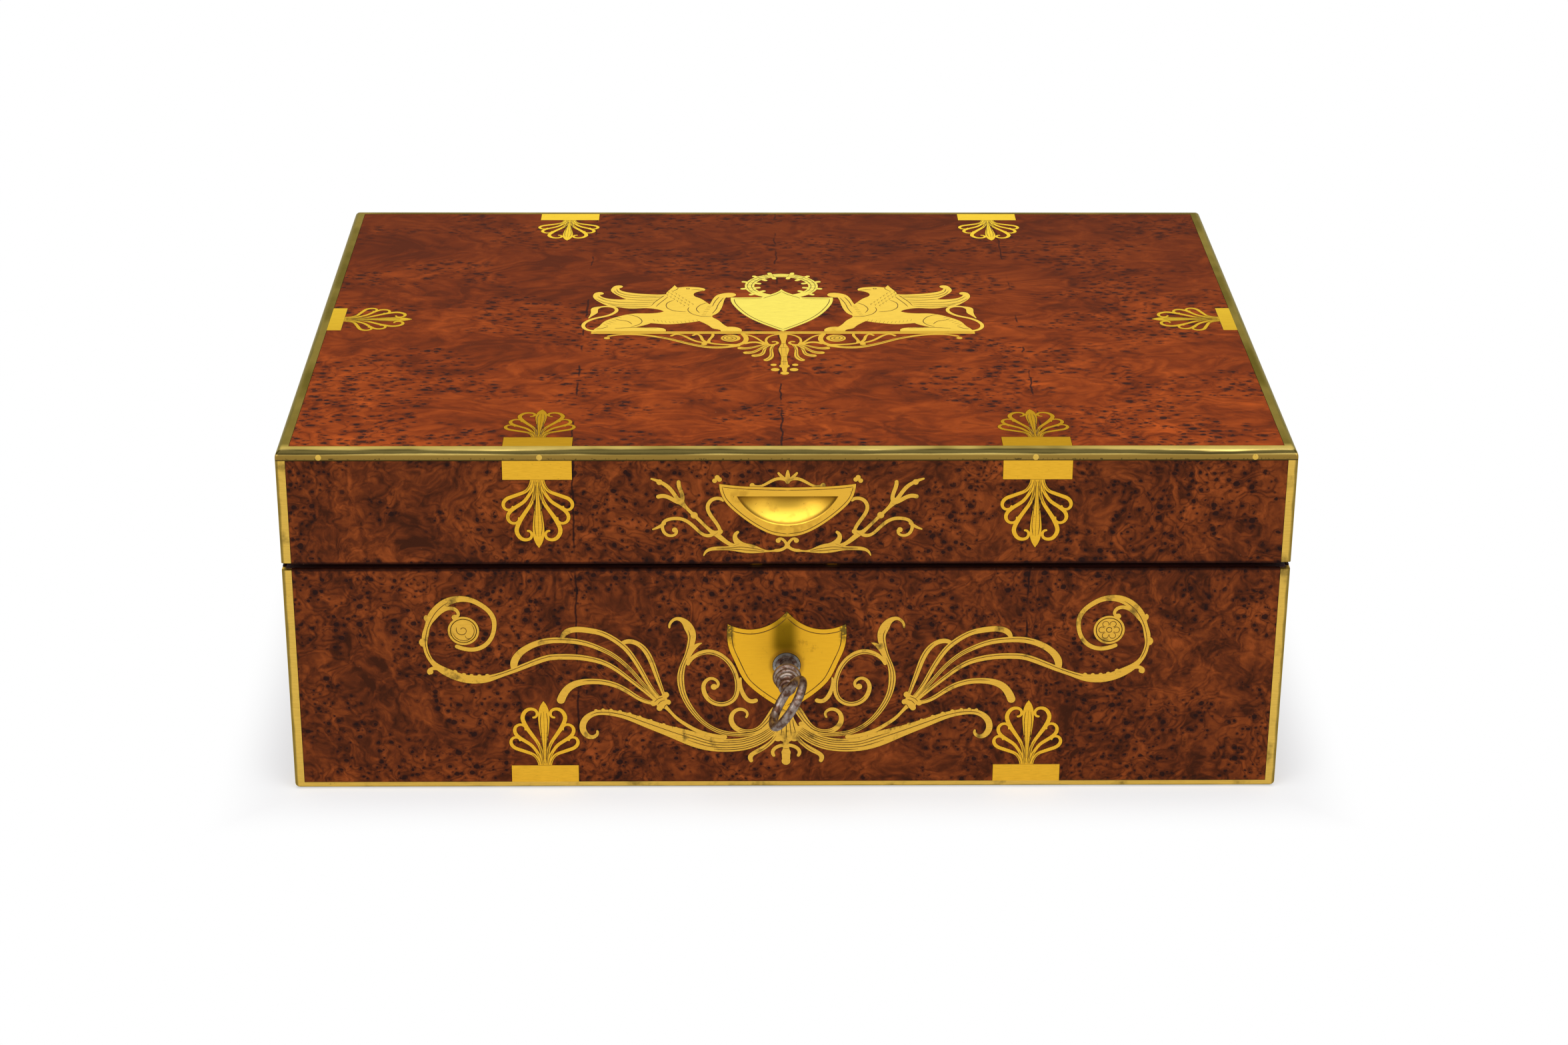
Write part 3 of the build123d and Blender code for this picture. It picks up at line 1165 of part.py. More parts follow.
def mirror_frame():
    """Frame that holds the glass to the lid."""
    x, y = mirror_width / 2, mirror_depth / 2
    frame = block(-x, x, -y, y, mirror_bottom, lining_bottom)
    sight_x, sight_y = x - mirror_frame_width, y - mirror_frame_width
    frame -= block(-sight_x, sight_x, -sight_y, sight_y, mirror_bottom - past, lining_bottom + past)
    rebate_x, rebate_y = sight_x + mirror_rebate, sight_y + mirror_rebate
    frame -= block(-rebate_x, rebate_x, -rebate_y, rebate_y, lining_bottom - mirror_glass_thickness,
                   lining_bottom + past)
    head_end = mirror_bottom + screw_head_depth
    for sx, sy in mirror_screw_spots():
        frame -= rod(sx, sy, mirror_bottom - past, lining_bottom + past, screw_radius)
        frame -= rod(sx, sy, mirror_bottom - past, head_end, screw_head_radius + running_fit)
    return frame


def mirror_glass():
    """Looking glass in the frame's rebate."""
    x = mirror_width / 2 - mirror_frame_width + mirror_rebate - running_fit
    y = mirror_depth / 2 - mirror_frame_width + mirror_rebate - running_fit
    return block(-x, x, -y, y, lining_bottom - mirror_glass_thickness, lining_bottom)


def lid_lining():
    """Soft lining under the lid top."""
    x, y = lid_inner_x - lid_lining_gap, lid_inner_y - lid_lining_gap
    lining = block(-x, x, -y, y, lining_bottom, lid_ceiling)
    for sx, sy in mirror_screw_spots():
        lining -= rod(sx, sy, lining_bottom - past, lid_ceiling + past, screw_radius)
    return lining


def base_lining():
    """Soft lining on the bottom of the base."""
    x, y = well_x - base_lining_gap, well_y - base_lining_gap
    return block(-x, x, -y, y, bottom_board_thickness, floor_z)


def liner_long_boards():
    """Front and back liners; the lid rests on their top edge."""
    return Compound([
        block(-inner_x, inner_x, -inner_y, -well_y, bottom_board_thickness, lid_bottom),
        block(-inner_x, inner_x, well_y, inner_y, bottom_board_thickness, lid_bottom),
    ])


def liner_end_boards():
    """Left and right liners between the long ones."""
    return Compound([
        block(-inner_x, -well_x, -well_y, well_y, bottom_board_thickness, lid_bottom),
        block(well_x, inner_x, -well_y, well_y, bottom_board_thickness, lid_bottom),
    ])


# Fitted interior: a row of bottle wells at the back, and a lift-out tray in front

def long_partition():
    """Board between the tray and the bottle wells."""
    return block(-well_x, well_x, partition_front, partition_back, floor_z, tray_top)


def cross_partitions():
    """Boards between the bottle wells."""
    walls = []
    for i in range(1, bottle_well_count):
        x = -well_x + i * well_pitch - partition_thickness
        walls.append(block(x, x + partition_thickness, partition_back, well_y, floor_z, tray_top))
    return Compound(walls)


def tray_runners():
    """Ledges that carry the tray at its two ends."""
    walls = []
    for side in (-1, 1):
        x0, x1 = sorted((side * well_x, side * (well_x - tray_wall)))
        walls.append(block(x0, x1, -well_y, partition_front, floor_z, tray_bottom_z))
    return Compound(walls)


def tray_floor_board():
    """Bottom of the lift-out tray."""
    return block(-tray_x, tray_x, tray_front, tray_back, tray_bottom_z, tray_bottom_z + tray_floor)


def tray_walls():
    """Four walls of the tray, standing on its bottom."""
    z0 = tray_bottom_z + tray_floor
    inner_left = tray_x - tray_wall
    return Compound([
        block(-tray_x, tray_x, tray_front, tray_front + tray_wall, z0, tray_top),
        block(-tray_x, tray_x, tray_back - tray_wall, tray_back, z0, tray_top),
        block(-tray_x, -inner_left, tray_front + tray_wall, tray_back - tray_wall, z0, tray_top),
        block(inner_left, tray_x, tray_front + tray_wall, tray_back - tray_wall, z0, tray_top),
    ])


def tray_dividers():
    """Two dividers along the depth and a short one between them."""
    z0, z1 = tray_bottom_z + tray_floor, tray_top - tray_wall
    x = tray_x / 3
    half = tray_divider / 2
    y0, y1 = tray_front + tray_wall, tray_back - tray_wall
    middle = (y0 + y1) / 2
    return Compound([
        block(-x - half, -x + half, y0, y1, z0, z1),
        block(x - half, x + half, y0, y1, z0, z1),
        block(-x + half, x - half, middle - half, middle + half, z0, z1),
    ])


def flask_spots():
    """Middles of the three flasks in the inner wells."""
    y = (partition_back + well_y) / 2
    return [(step * well_pitch, y) for step in (-1, 0, 1)]


def one_flask():
    """Square glass flask with a shoulder, a neck and room inside."""
    outer = extrude(RectangleRounded(flask_width, flask_width, flask_corner), flask_body_height)
    neck_foot = flask_body_height + flask_shoulder
    top_width = 2 * (flask_neck_radius + flask_shoulder_land)
    shoulder = loft([
        Pos(0, 0, flask_body_height) * RectangleRounded(flask_width, flask_width, flask_corner),
        Pos(0, 0, neck_foot) * RectangleRounded(top_width, top_width, flask_neck_radius),
    ])
    neck = rod(0, 0, neck_foot, neck_foot + flask_neck_height, flask_neck_radius)
    room_width = flask_width - 2 * flask_wall
    room = extrude(Pos(0, 0, flask_wall) * RectangleRounded(room_width, room_width, flask_corner / 2),
                   flask_body_height - 2 * flask_wall)
    bore = rod(0, 0, flask_wall, neck_foot + flask_neck_height + past, flask_neck_radius - flask_wall)
    return outer + shoulder + neck - room - bore


def flasks():
    """Three glass flasks."""
    flask = one_flask()
    return Compound([(Pos(x, y, floor_z) * flask).solids()[0] for x, y in flask_spots()])


def flask_caps():
    """Caps that cover the necks of the flasks."""
    neck_foot = floor_z + flask_body_height + flask_shoulder
    neck_top = neck_foot + flask_neck_height
    cap = rod(0, 0, neck_foot, neck_foot + flask_cap_height, flask_cap_radius)
    cap -= rod(0, 0, neck_foot - past, neck_top, flask_neck_radius + cap_fit)
    cap = fillet(cap.edges().filter_by(GeomType.CIRCLE).group_by(Axis.Z)[-1], cap_round)
    return Compound([(Pos(x, y, 0) * cap).solids()[0] for x, y in flask_spots()])


def mirrored_griffins():
    """Both griffins as brass inlays."""
    return inlay(both_sides(griffin()), top_plane)


def crest_inlay():
    """Shield and wreath as a brass inlay."""
    return inlay(crest_shield(), top_plane)


def pendant_inlay():
    """Bar and hanging foliage as a brass inlay."""
    return inlay(pendant(), top_plane)


def moulding_pins():
    """Heads of the moulding pins, cut to the rounded edge."""
    envelope = lid_envelope()
    return Compound([(pin & envelope).solids()[0] for pin in moulding_pin_list()])


nodes = {
    "base_front_board": base_front_board,
    "base_back_board": base_back_board,
    "base_left_board": lambda: base_end_board(-1),
    "base_right_board": lambda: base_end_board(1),
    "base_bottom_board": base_bottom_board,
    "base_front_veneer": base_front_veneer,
    "base_back_veneer": lambda: inlay(base_panel(half_width), back_plane),
    "base_left_veneer": lambda: base_end_veneer(left_plane),
    "base_right_veneer": lambda: base_end_veneer(right_plane),
    "base_corner_strips": base_corner_strips,
    "base_bottom_strips": base_bottom_strips,
    "base_palmettes": base_palmette_inlays,
    "front_scroll": lambda: inlay(placed_scroll(), front_plane),
    "escutcheon_shield": escutcheon_shield,
    "liner_long_boards": liner_long_boards,
    "liner_end_boards": liner_end_boards,
    "base_lining": base_lining,
    "long_partition": long_partition,
    "cross_partitions": cross_partitions,
    "tray_runners": tray_runners,
    "tray_floor": tray_floor_board,
    "tray_walls": tray_walls,
    "tray_dividers": tray_dividers,
    "flasks": flasks,
    "flask_caps": flask_caps,
    "lock_case": lock_case,
    "lock_cover": lock_cover,
    "lock_nozzle": lock_nozzle,
    "lock_bolt": lock_bolt,
    "key_barrel": key_barrel,
    "key": key,
    "base_screws": base_screws,
    "hinge_leaves_base": lambda: hinge_leaves(0),
    "hinge_leaves_lid": lambda: hinge_leaves(1),
    "hinge_pins": hinge_pins,
    "lid_front_board": lid_front_board,
    "lid_back_board": lid_back_board,
    "lid_left_board": lambda: lid_end_board(-1),
    "lid_right_board": lambda: lid_end_board(1),
    "lid_top_board": lid_top_board,
    "lid_front_veneer": lid_front_veneer,
    "lid_back_veneer": lambda: inlay(lid_panel(half_width), back_plane),
    "lid_left_veneer": lambda: lid_end_veneer(left_plane),
    "lid_right_veneer": lambda: lid_end_veneer(right_plane),
    "lid_top_veneer": lid_top_veneer,
    "lid_corner_strips": lid_corner_strips,
    "lid_top_moulding": lid_top_moulding,
    "moulding_pins": moulding_pins,
    "lid_palmettes": lid_palmette_inlays,
    "griffins": mirrored_griffins,
    "crest_shield": crest_inlay,
    "pendant_foliage": pendant_inlay,
    "finger_pull": finger_pull,
    "pull_sprigs": lambda: inlay(placed_sprigs(), front_plane),
    "link_plate": link_plate,
    "lid_screws": lid_screws,
    "mirror_frame": mirror_frame,
    "mirror_glass": mirror_glass,
    "lid_lining": lid_lining,
}

os.makedirs("parts", exist_ok=True)
for name, make in nodes.items():
    export_step(make(), f"parts/{name}.step")
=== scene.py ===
import bmesh
import bpy
import json
import math
from mathutils import Matrix, Vector


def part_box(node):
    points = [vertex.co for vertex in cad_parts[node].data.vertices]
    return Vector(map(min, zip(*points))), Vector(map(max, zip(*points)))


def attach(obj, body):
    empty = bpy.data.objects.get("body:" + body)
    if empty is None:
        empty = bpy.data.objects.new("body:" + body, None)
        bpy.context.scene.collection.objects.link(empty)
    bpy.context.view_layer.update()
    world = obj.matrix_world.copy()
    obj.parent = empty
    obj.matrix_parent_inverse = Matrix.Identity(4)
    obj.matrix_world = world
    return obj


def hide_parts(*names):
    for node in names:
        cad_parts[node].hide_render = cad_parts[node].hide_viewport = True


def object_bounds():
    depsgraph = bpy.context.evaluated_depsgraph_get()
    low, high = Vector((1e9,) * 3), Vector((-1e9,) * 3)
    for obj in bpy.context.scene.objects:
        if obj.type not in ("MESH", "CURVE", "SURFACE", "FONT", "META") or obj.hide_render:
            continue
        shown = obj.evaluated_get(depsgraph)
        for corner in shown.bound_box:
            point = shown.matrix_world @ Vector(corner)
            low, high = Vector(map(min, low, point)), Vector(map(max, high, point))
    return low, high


# Toiletry case: the finish of every surface, the engraving in the brass, and the soft linings. Sizes are
# in millimetres, and MM turns them into metres of the frame. Floor, lights and camera are in metres.

MM = 0.001

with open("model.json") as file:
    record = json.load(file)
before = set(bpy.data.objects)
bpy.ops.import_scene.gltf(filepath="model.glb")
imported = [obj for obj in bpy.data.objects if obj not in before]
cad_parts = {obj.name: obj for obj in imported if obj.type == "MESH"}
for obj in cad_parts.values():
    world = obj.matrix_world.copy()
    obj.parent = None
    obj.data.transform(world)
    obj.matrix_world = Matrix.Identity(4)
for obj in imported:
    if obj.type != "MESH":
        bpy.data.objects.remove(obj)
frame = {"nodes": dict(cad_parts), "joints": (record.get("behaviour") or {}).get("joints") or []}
nodes = frame["nodes"]
cad_low, cad_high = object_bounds()


def in_mm(metres):
    return 1000 * metres


front_y = in_mm(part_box("base_front_veneer")[0].y)
top_z = in_mm(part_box("lid_top_veneer")[1].z)
lid_bottom = in_mm(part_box("lid_front_board")[0].z)
keyhole_z = in_mm(frame["joints"][1]["pos_m"][2])
half_width = in_mm(cad_high.x)
half_depth = -front_y
half_rim_gap = 1.15
pull_lip_drop = 19.4
pull_lip_z = top_z - pull_lip_drop


# Materials

class Graph:
    """Node tree of a material or a world, with short calls for the nodes used here. place is a spot in
    metres of the frame, and mm the same in millimetres."""

    def __init__(self, name, kind=bpy.data.materials):
        self.owner = kind.new(name)
        self.owner.use_nodes = True
        self.tree = self.owner.node_tree
        self.tree.nodes.clear()
        self.place = self.node("ShaderNodeTexCoord").outputs["Object"]
        self.mm = self.move(self.place, (1000, 1000, 1000))

    def node(self, kind, inputs=None, **settings):
        """Add a node; inputs maps socket names or numbers to values or other sockets."""
        made = self.tree.nodes.new(kind)
        for key, value in settings.items():
            setattr(made, key, value)
        for key, value in (inputs or {}).items():
            if isinstance(value, bpy.types.NodeSocket):
                self.tree.links.new(value, made.inputs[key])
            else:
                made.inputs[key].default_value = value
        return made

    def math(self, operation, a, b=0.0, clamp=False):
        return self.node("ShaderNodeMath", {0: a, 1: b}, operation=operation, use_clamp=clamp).outputs[0]

    def plus(self, a, b):
        return self.math("ADD", a, b)

    def minus(self, a, b):
        return self.math("SUBTRACT", a, b)

    def times(self, a, b):
        return self.math("MULTIPLY", a, b)

    def most(self, a, b):
        return self.math("MAXIMUM", a, b)

    def size(self, a):
        """A number without its sign."""
        return self.math("ABSOLUTE", a)

    def step(self, value, low, high):
        """0 below low, 1 above high and smooth between; low may be above high to turn it round."""
        inputs = {0: value, 1: low, 2: high, 3: 0.0, 4: 1.0}
        return self.node("ShaderNodeMapRange", inputs, interpolation_type="SMOOTHSTEP").outputs[0]

    def split(self, vector):
        """The three numbers of a place."""
        return self.node("ShaderNodeSeparateXYZ", {0: vector}).outputs

    def arrow(self, operation, inputs):
        """Sum on places; inputs go by number."""
        return self.node("ShaderNodeVectorMath", inputs, operation=operation).outputs

    def move(self, vector, scale=(1, 1, 1), shift=(0, 0, 0)):
        inputs = {"Vector": vector, "Scale": scale, "Location": shift}
        return self.node("ShaderNodeMapping", inputs).outputs[0]

    def noise(self, vector, scale, detail=2.0, rough=0.5, twist=0.0, want=0):
        """Noise about 0.5 at a place; with want="Color" three of them."""
        inputs = {"Vector": vector, "Scale": scale, "Detail": detail, "Roughness": rough, "Distortion": twist}
        return self.node("ShaderNodeTexNoise", inputs).outputs[want]

    def bend(self, vector, scale, amount, detail=2.0):
        """Push a place about by noise, in the place's own units."""
        push = self.noise(vector, scale, detail, want="Color")
        centred = self.arrow("SUBTRACT", {0: push, 1: (0.5, 0.5, 0.5)})[0]
        scaled = self.arrow("SCALE", {0: centred, 3: amount})[0]
        return self.arrow("ADD", {0: vector, 1: scaled})[0]

    def ramp(self, value, stops):
        made = self.node("ShaderNodeValToRGB", {0: value})
        marks = made.color_ramp.elements
        while len(marks) < len(stops):
            marks.new(0.5)
        for mark, (place, colour) in zip(marks, stops):
            mark.position = place
            mark.color = colour
        return made.outputs[0]

    def mix(self, share, a, b, blend="MIX"):
        inputs = {0: share, 6: a, 7: b}
        return self.node("ShaderNodeMix", inputs, data_type="RGBA", blend_type=blend).outputs[2]

    def stain(self, colour, where, strength, tint):
        """Lay a tint over a colour where a mask is high."""
        return self.mix(self.times(where, strength), colour, tint)

    def bump(self, height, strength, distance):
        inputs = {"Height": height, "Strength": strength, "Distance": distance}
        return self.node("ShaderNodeBump", inputs).outputs[0]

    def seen(self):
        """1 for what the camera, a reflection or the view through glass meets."""
        path = self.node("ShaderNodeLightPath").outputs
        return self.most(self.most(path["Is Camera Ray"], path["Is Glossy Ray"]), path["Is Transmission Ray"])

    def finish(self, colour, rough, normal=None, **constants):
        """Principled surface; constants are socket names with underscores for spaces."""
        inputs = {"Base Color": colour, "Roughness": rough}
        if normal is not None:
            inputs["Normal"] = normal
        shader = self.node("ShaderNodeBsdfPrincipled", inputs)
        for key, value in constants.items():
            shader.inputs[key.replace("_", " ")].default_value = value
        return self.output(shader.outputs[0])

    def metal(self, colour, rough, lines, fine, relief=0.1, depth=0.00008):
        """Old brass with the relief of its brushed lines and fine dirt. It stays yellow where it is seen
        at a low angle."""
        normal = self.bump(self.plus(lines, fine), relief, depth)
        return self.finish(colour, rough, normal, Metallic=1.0, Specular_Tint=(1.0, 0.88, 0.5, 1))

    def output(self, surface, kind="ShaderNodeOutputMaterial"):
        """Join a surface to the output of the tree; gives the material or world."""
        self.node(kind, {"Surface": surface})
        return self.owner


def rgb(r, g, b):
    """Linear colour, with an alpha of 1, from screen values of 0 to 255."""
    return (*[(c / 255 / 12.92) if c <= 10 else ((c / 255 + 0.055) / 1.055) ** 2.4 for c in (r, g, b)], 1)


def faded(colour, share):
    """A darker or brighter colour: each of its three values at a share."""
    return (*[c * share for c in colour[:3]], 1)


def burr_eyes(g, place, cluster, axes):
    """Eyes of three sizes, each a dark core in a darker ring; they crowd where cluster is high. Also
    gives the lift of the grain, which closes round them."""
    warped = g.split(g.bend(place, 1 / 4, 1.8))
    flat = g.node("ShaderNodeCombineXYZ", {0: warped[axes[0]], 1: warped[axes[1]]}).outputs[0]
    eyes = 0.0
    lift = 0.0
    for pitch, biggest, low, rare in ((6.4, 0.2, 0.47, 0.35), (4.2, 0.21, 0.45, 0.4), (2.8, 0.17, 0.47, 0.5)):
        spot = g.move(flat, (1, 1, 1), (pitch * 9, pitch * 5, 0))
        cell = g.node("ShaderNodeTexVoronoi", {"Vector": spot, "Scale": 1 / pitch}, voronoi_dimensions="2D")
        chance = g.node("ShaderNodeSeparateColor", {0: cell.outputs["Color"]})
        radius = g.times(g.plus(g.times(chance.outputs[0], 0.65), 0.35), biggest)
        far = g.minus(cell.outputs["Distance"], radius)
        core = g.step(far, 0.04, -0.05)
        ring = g.times(g.step(g.size(g.minus(far, 0.1)), 0.04, 0.0), 0.5)
        halo = g.times(g.step(far, 0.2, 0.0), 0.45)
        here = g.times(g.step(cluster, low, low + 0.06), g.step(chance.outputs[1], rare, rare + 0.05))
        mark = g.most(g.most(core, ring), halo)
        eyes = g.most(eyes, g.times(mark, here))
        lift = g.plus(lift, g.times(g.step(far, 0.4, 0.0), g.times(here, 0.5)))
    return eyes, lift


def burr_veneer(name, dark, middle, bright, size, crowd, stretch, shift, seams, axes):
    """Burr figure: grain that swirls round clusters of small dark eyes, cloudy tone, and crumbled
    joints between the leaves. size and stretch are the scale of the figure and its pull along X, crowd
    spreads the clusters of eyes, shift picks the log, and axes are the two directions that the face
    lies along."""
    g = Graph(name)
    stretched = g.move(g.mm, (1 / stretch, 1, 1), shift)
    scaled = g.move(stretched, (1 / size, 1 / size, 1 / size))
    wide = g.bend(scaled, 1 / 40, 24)
    curl = g.bend(wide, 1 / 8, 8)
    cloud = g.noise(wide, 1 / 20, 3, 0.55)
    cluster = g.plus(g.noise(g.bend(scaled, 1 / 26, 14), 1 / 19), crowd)
    eyes, lift = burr_eyes(g, stretched, cluster, axes)
    # Grain: level lines of a smooth field, which close round the eyes, and fine threads along it
    field = g.noise(curl, 1 / 11, 1.5, 0.45)
    level = g.plus(g.times(field, 60), g.times(lift, 3.2))
    contour = g.times(g.plus(g.math("SINE", level), 1), 0.5)
    flame = g.noise(g.move(curl, (1, 0.6, 0.65)), 1 / 5, 4, 0.58, 0.8)
    threads = g.noise(g.bend(curl, 1 / 3, 1.6), 1 / 1.1, 3, 0.65)
    tone = 0.0
    for part, weight in ((cloud, 0.4), (flame, 0.6), (contour, 0.06), (threads, 0.16)):
        tone = g.plus(tone, g.times(part, weight))
    colour = g.ramp(tone, [(0.48, dark), (0.59, middle), (0.7, bright), (0.82, faded(bright, 1.5))])
    shade = faded(dark, 0.7)
    # Soft dark blotches where the grain closes up, and thin dark lines that run round them
    knot = g.noise(g.move(curl, (0.8, 1, 1), (90, 0, 40)), 1 / 6, 3, 0.6)
    colour = g.stain(colour, g.step(knot, 0.58, 0.7), 0.2, shade)
    line = g.times(g.step(contour, 0.14, 0.0), g.step(cluster, 0.42, 0.55))
    colour = g.stain(colour, line, 0.4, shade)
    deep = rgb(34, 19, 17)
    colour = g.stain(colour, eyes, 0.92, deep)
    # Fine dark flecks along the grain
    fleck = g.noise(g.move(curl, (0.3, 1.6, 1.3)), 1 / 1.8, 3, 0.6)
    colour = g.stain(colour, g.step(fleck, 0.59, 0.7), 0.4, shade)
    # Joints between leaves of veneer, with crumbled edges in places
    across = g.split(g.bend(g.mm, 1 / 9, 3.0, 4))[0]
    broken = g.noise(g.mm, 1 / 22)
    for seam in seams:
        gap = g.size(g.minus(across, seam))
        line = g.times(g.step(gap, 0.6, 0.15), g.step(broken, 0.46, 0.54))
        colour = g.stain(colour, line, 0.85, deep)
    # Painted shade: the top is darker toward the back
    spot = g.split(g.mm)
    back_shade = g.times(g.step(spot[1], -90, 150), g.step(spot[2], top_z - 1, top_z - 0.5))
    colour = g.stain(colour, back_shade, 0.5, shade)
    # Painted shade in the edges beside the gap between lid and base
    beside_gap = g.size(g.minus(spot[2], lid_bottom - half_rim_gap))
    colour = g.stain(colour, g.step(beside_gap, 2.5, 1.5), 0.85, rgb(26, 10, 8))
    # Polish: a fine ripple, faint dust and small chips that show pale
    ripple = g.noise(g.place, 90)
    dust = g.step(g.noise(g.place, 1500, 1, 0.5), 0.775, 0.81)
    colour = g.stain(colour, dust, 0.3, rgb(200, 150, 110))
    rough = g.plus(g.times(flame, 0.2), 0.35)
    normal = g.bump(g.plus(ripple, g.times(threads, 0.05)), 0.1, 0.0005)
    return g.finish(colour, rough, normal, Specular_IOR_Level=0.0, Coat_Weight=0.07, Coat_Roughness=0.06,
                    Coat_IOR=1.5)


def brass(name, gold, tarnish, wear, brush, rough_low=0.26, tarnish_size=26, top=None, arris=None):
    """Old brass: brushed lines, cloudy tarnish that gathers in patches, and small dark pits. top is a
    pair of colours of painted light for what lies in the top of the lid, at its front and its back, and
    arris is the colour that darkens the upright corner edges of the case and its foot."""
    g = Graph(name)
    cloud = g.noise(g.bend(g.mm, 1 / 20, 8), 1 / tarnish_size, 4, 0.6)
    lines = g.noise(g.move(g.mm, brush), 1.0, 3, 0.6)
    fine = g.noise(g.mm, 1 / 1.4, 3, 0.6)
    patch = g.step(cloud, 1 - wear, 1 - wear + 0.16)
    patch = g.math("MULTIPLY", patch, g.plus(0.35, g.times(fine, 0.9)), True)
    metal = gold
    if top:
        # Painted light on the brass in the lid top: darker at its front and brighter at its back
        spot = g.split(g.mm)
        top_light = g.mix(g.step(spot[1], -110, 110), top[0], top[1])
        metal = g.mix(g.step(spot[2], top_z - 0.4, top_z - 0.2), gold, top_light)
    tint = g.mix(g.times(g.step(lines, 0.3, 0.75), 0.42), metal, (0.62, 0.58, 0.5, 1), "MULTIPLY")
    colour = g.mix(patch, tint, tarnish)
    if arris:
        # Darker along the upright corner edges of the case and along its foot
        spot = g.split(g.bend(g.mm, 1 / 12, 1.4))
        wide = g.step(g.size(spot[0]), half_width - 1.6, half_width - 0.7)
        deep = g.step(g.size(spot[1]), half_depth - 1.6, half_depth - 0.7)
        foot = g.step(spot[2], 1.3, 0.5)
        edge = g.most(g.times(wide, deep), foot)
        colour = g.stain(colour, edge, 0.75, arris)
    pits = g.step(g.noise(g.mm, 1 / 0.9, 2, 0.6), 0.7, 0.76)
    colour = g.stain(colour, pits, 0.45, faded(tarnish, 0.3))
    rough = g.plus(g.times(lines, 0.14), g.plus(rough_low, g.times(patch, 0.25)))
    return g.metal(colour, rough, lines, fine)


def pull_plate_brass(name):
    """Finger pull: brushed plate, and a dished recess with painted shade under its lip, painted light toward
    the bottom of the dish, and a darker rim.
    """
    g = Graph(name)
    spot = g.split(g.mm)
    depth = g.minus(spot[1], front_y)
    under = g.minus(pull_lip_z, spot[2])
    lines = g.noise(g.move(g.mm, (0.18, 3, 3)), 1.0, 3, 0.6)
    fine = g.noise(g.mm, 1 / 1.2, 3, 0.6)
    cloud = g.noise(g.mm, 1 / 9, 3, 0.6)
    colour = g.mix(g.times(lines, 0.5), rgb(236, 184, 64), rgb(196, 142, 44))
    inside = g.step(depth, 0.15, 0.4)
    # Painted light in the recess: dark under the lip, bright toward the bottom of the dish
    dish_light = g.mix(g.step(under, 0.4, 9), rgb(150, 108, 26), rgb(232, 186, 66))
    colour = g.mix(inside, colour, dish_light)
    # Painted shade under the lip, laid on together with the darker rim of the recess
    lip = g.times(inside, g.step(under, 1.5, 0.6))
    rim = g.times(inside, g.step(depth, 1.5, 0.5))
    colour = g.stain(colour, g.most(lip, rim), 0.8, rgb(84, 54, 14))
    colour = g.stain(colour, g.step(cloud, 0.56, 0.7), 0.4, rgb(150, 104, 34))
    colour = g.stain(colour, g.step(fine, 0.66, 0.74), 0.5, rgb(70, 48, 18))
    rough = g.plus(0.3, g.times(lines, 0.14))
    return g.metal(colour, rough, lines, fine)


def shield_brass(name):
    """Escutcheon: brushed brass, a broad painted olive shade above the keyhole, dirt in its upper corners,
    a painted shadow round the hole, and a few brown stains."""
    g = Graph(name)
    spot = g.split(g.bend(g.mm, 1 / 6, 1.2))
    x, z = spot[0], spot[2]
    lines = g.noise(g.move(g.mm, (0.16, 4, 2.6)), 1.0, 3, 0.6)
    fine = g.noise(g.mm, 1 / 1.4, 3, 0.6)
    colour = g.mix(g.times(lines, 0.5), rgb(236, 180, 44), rgb(196, 140, 34))
    # Painted shade: a broad olive patch above the keyhole
    shade = g.times(g.step(g.size(g.minus(x, -0.9)), 7.0, 2.0), g.step(z, keyhole_z + 4, keyhole_z + 9))
    shade = g.times(shade, g.step(z, keyhole_z + 25, keyhole_z + 17))
    colour = g.stain(colour, shade, 0.85, rgb(118, 92, 8))
    aside = g.size(x)
    corner = g.times(g.step(aside, 20.4, 22.0), g.step(z, keyhole_z + 9, keyhole_z + 14))
    tip = g.times(g.step(aside, 3.0, 1.4), g.step(z, keyhole_z + 20.5, keyhole_z + 22.2))
    dirt = g.times(g.most(corner, tip), g.step(fine, 0.3, 0.5))
    # Painted shadow: a brown ring round the hole, laid on together with a few brown stains
    near = g.arrow("DISTANCE", {0: g.mm, 1: (0, front_y, keyhole_z)})[1]
    rim = g.times(g.step(near, 7.8, 6.0), 0.5)
    stains = g.times(g.step(g.noise(g.mm, 1 / 5, 3, 0.6), 0.62, 0.72), 0.3)
    colour = g.mix(g.most(rim, stains), colour, rgb(120, 74, 26))
    colour = g.stain(colour, dirt, 0.85, rgb(66, 62, 34))
    rough = g.plus(0.34, g.times(lines, 0.14))
    return g.metal(colour, rough, lines, fine)


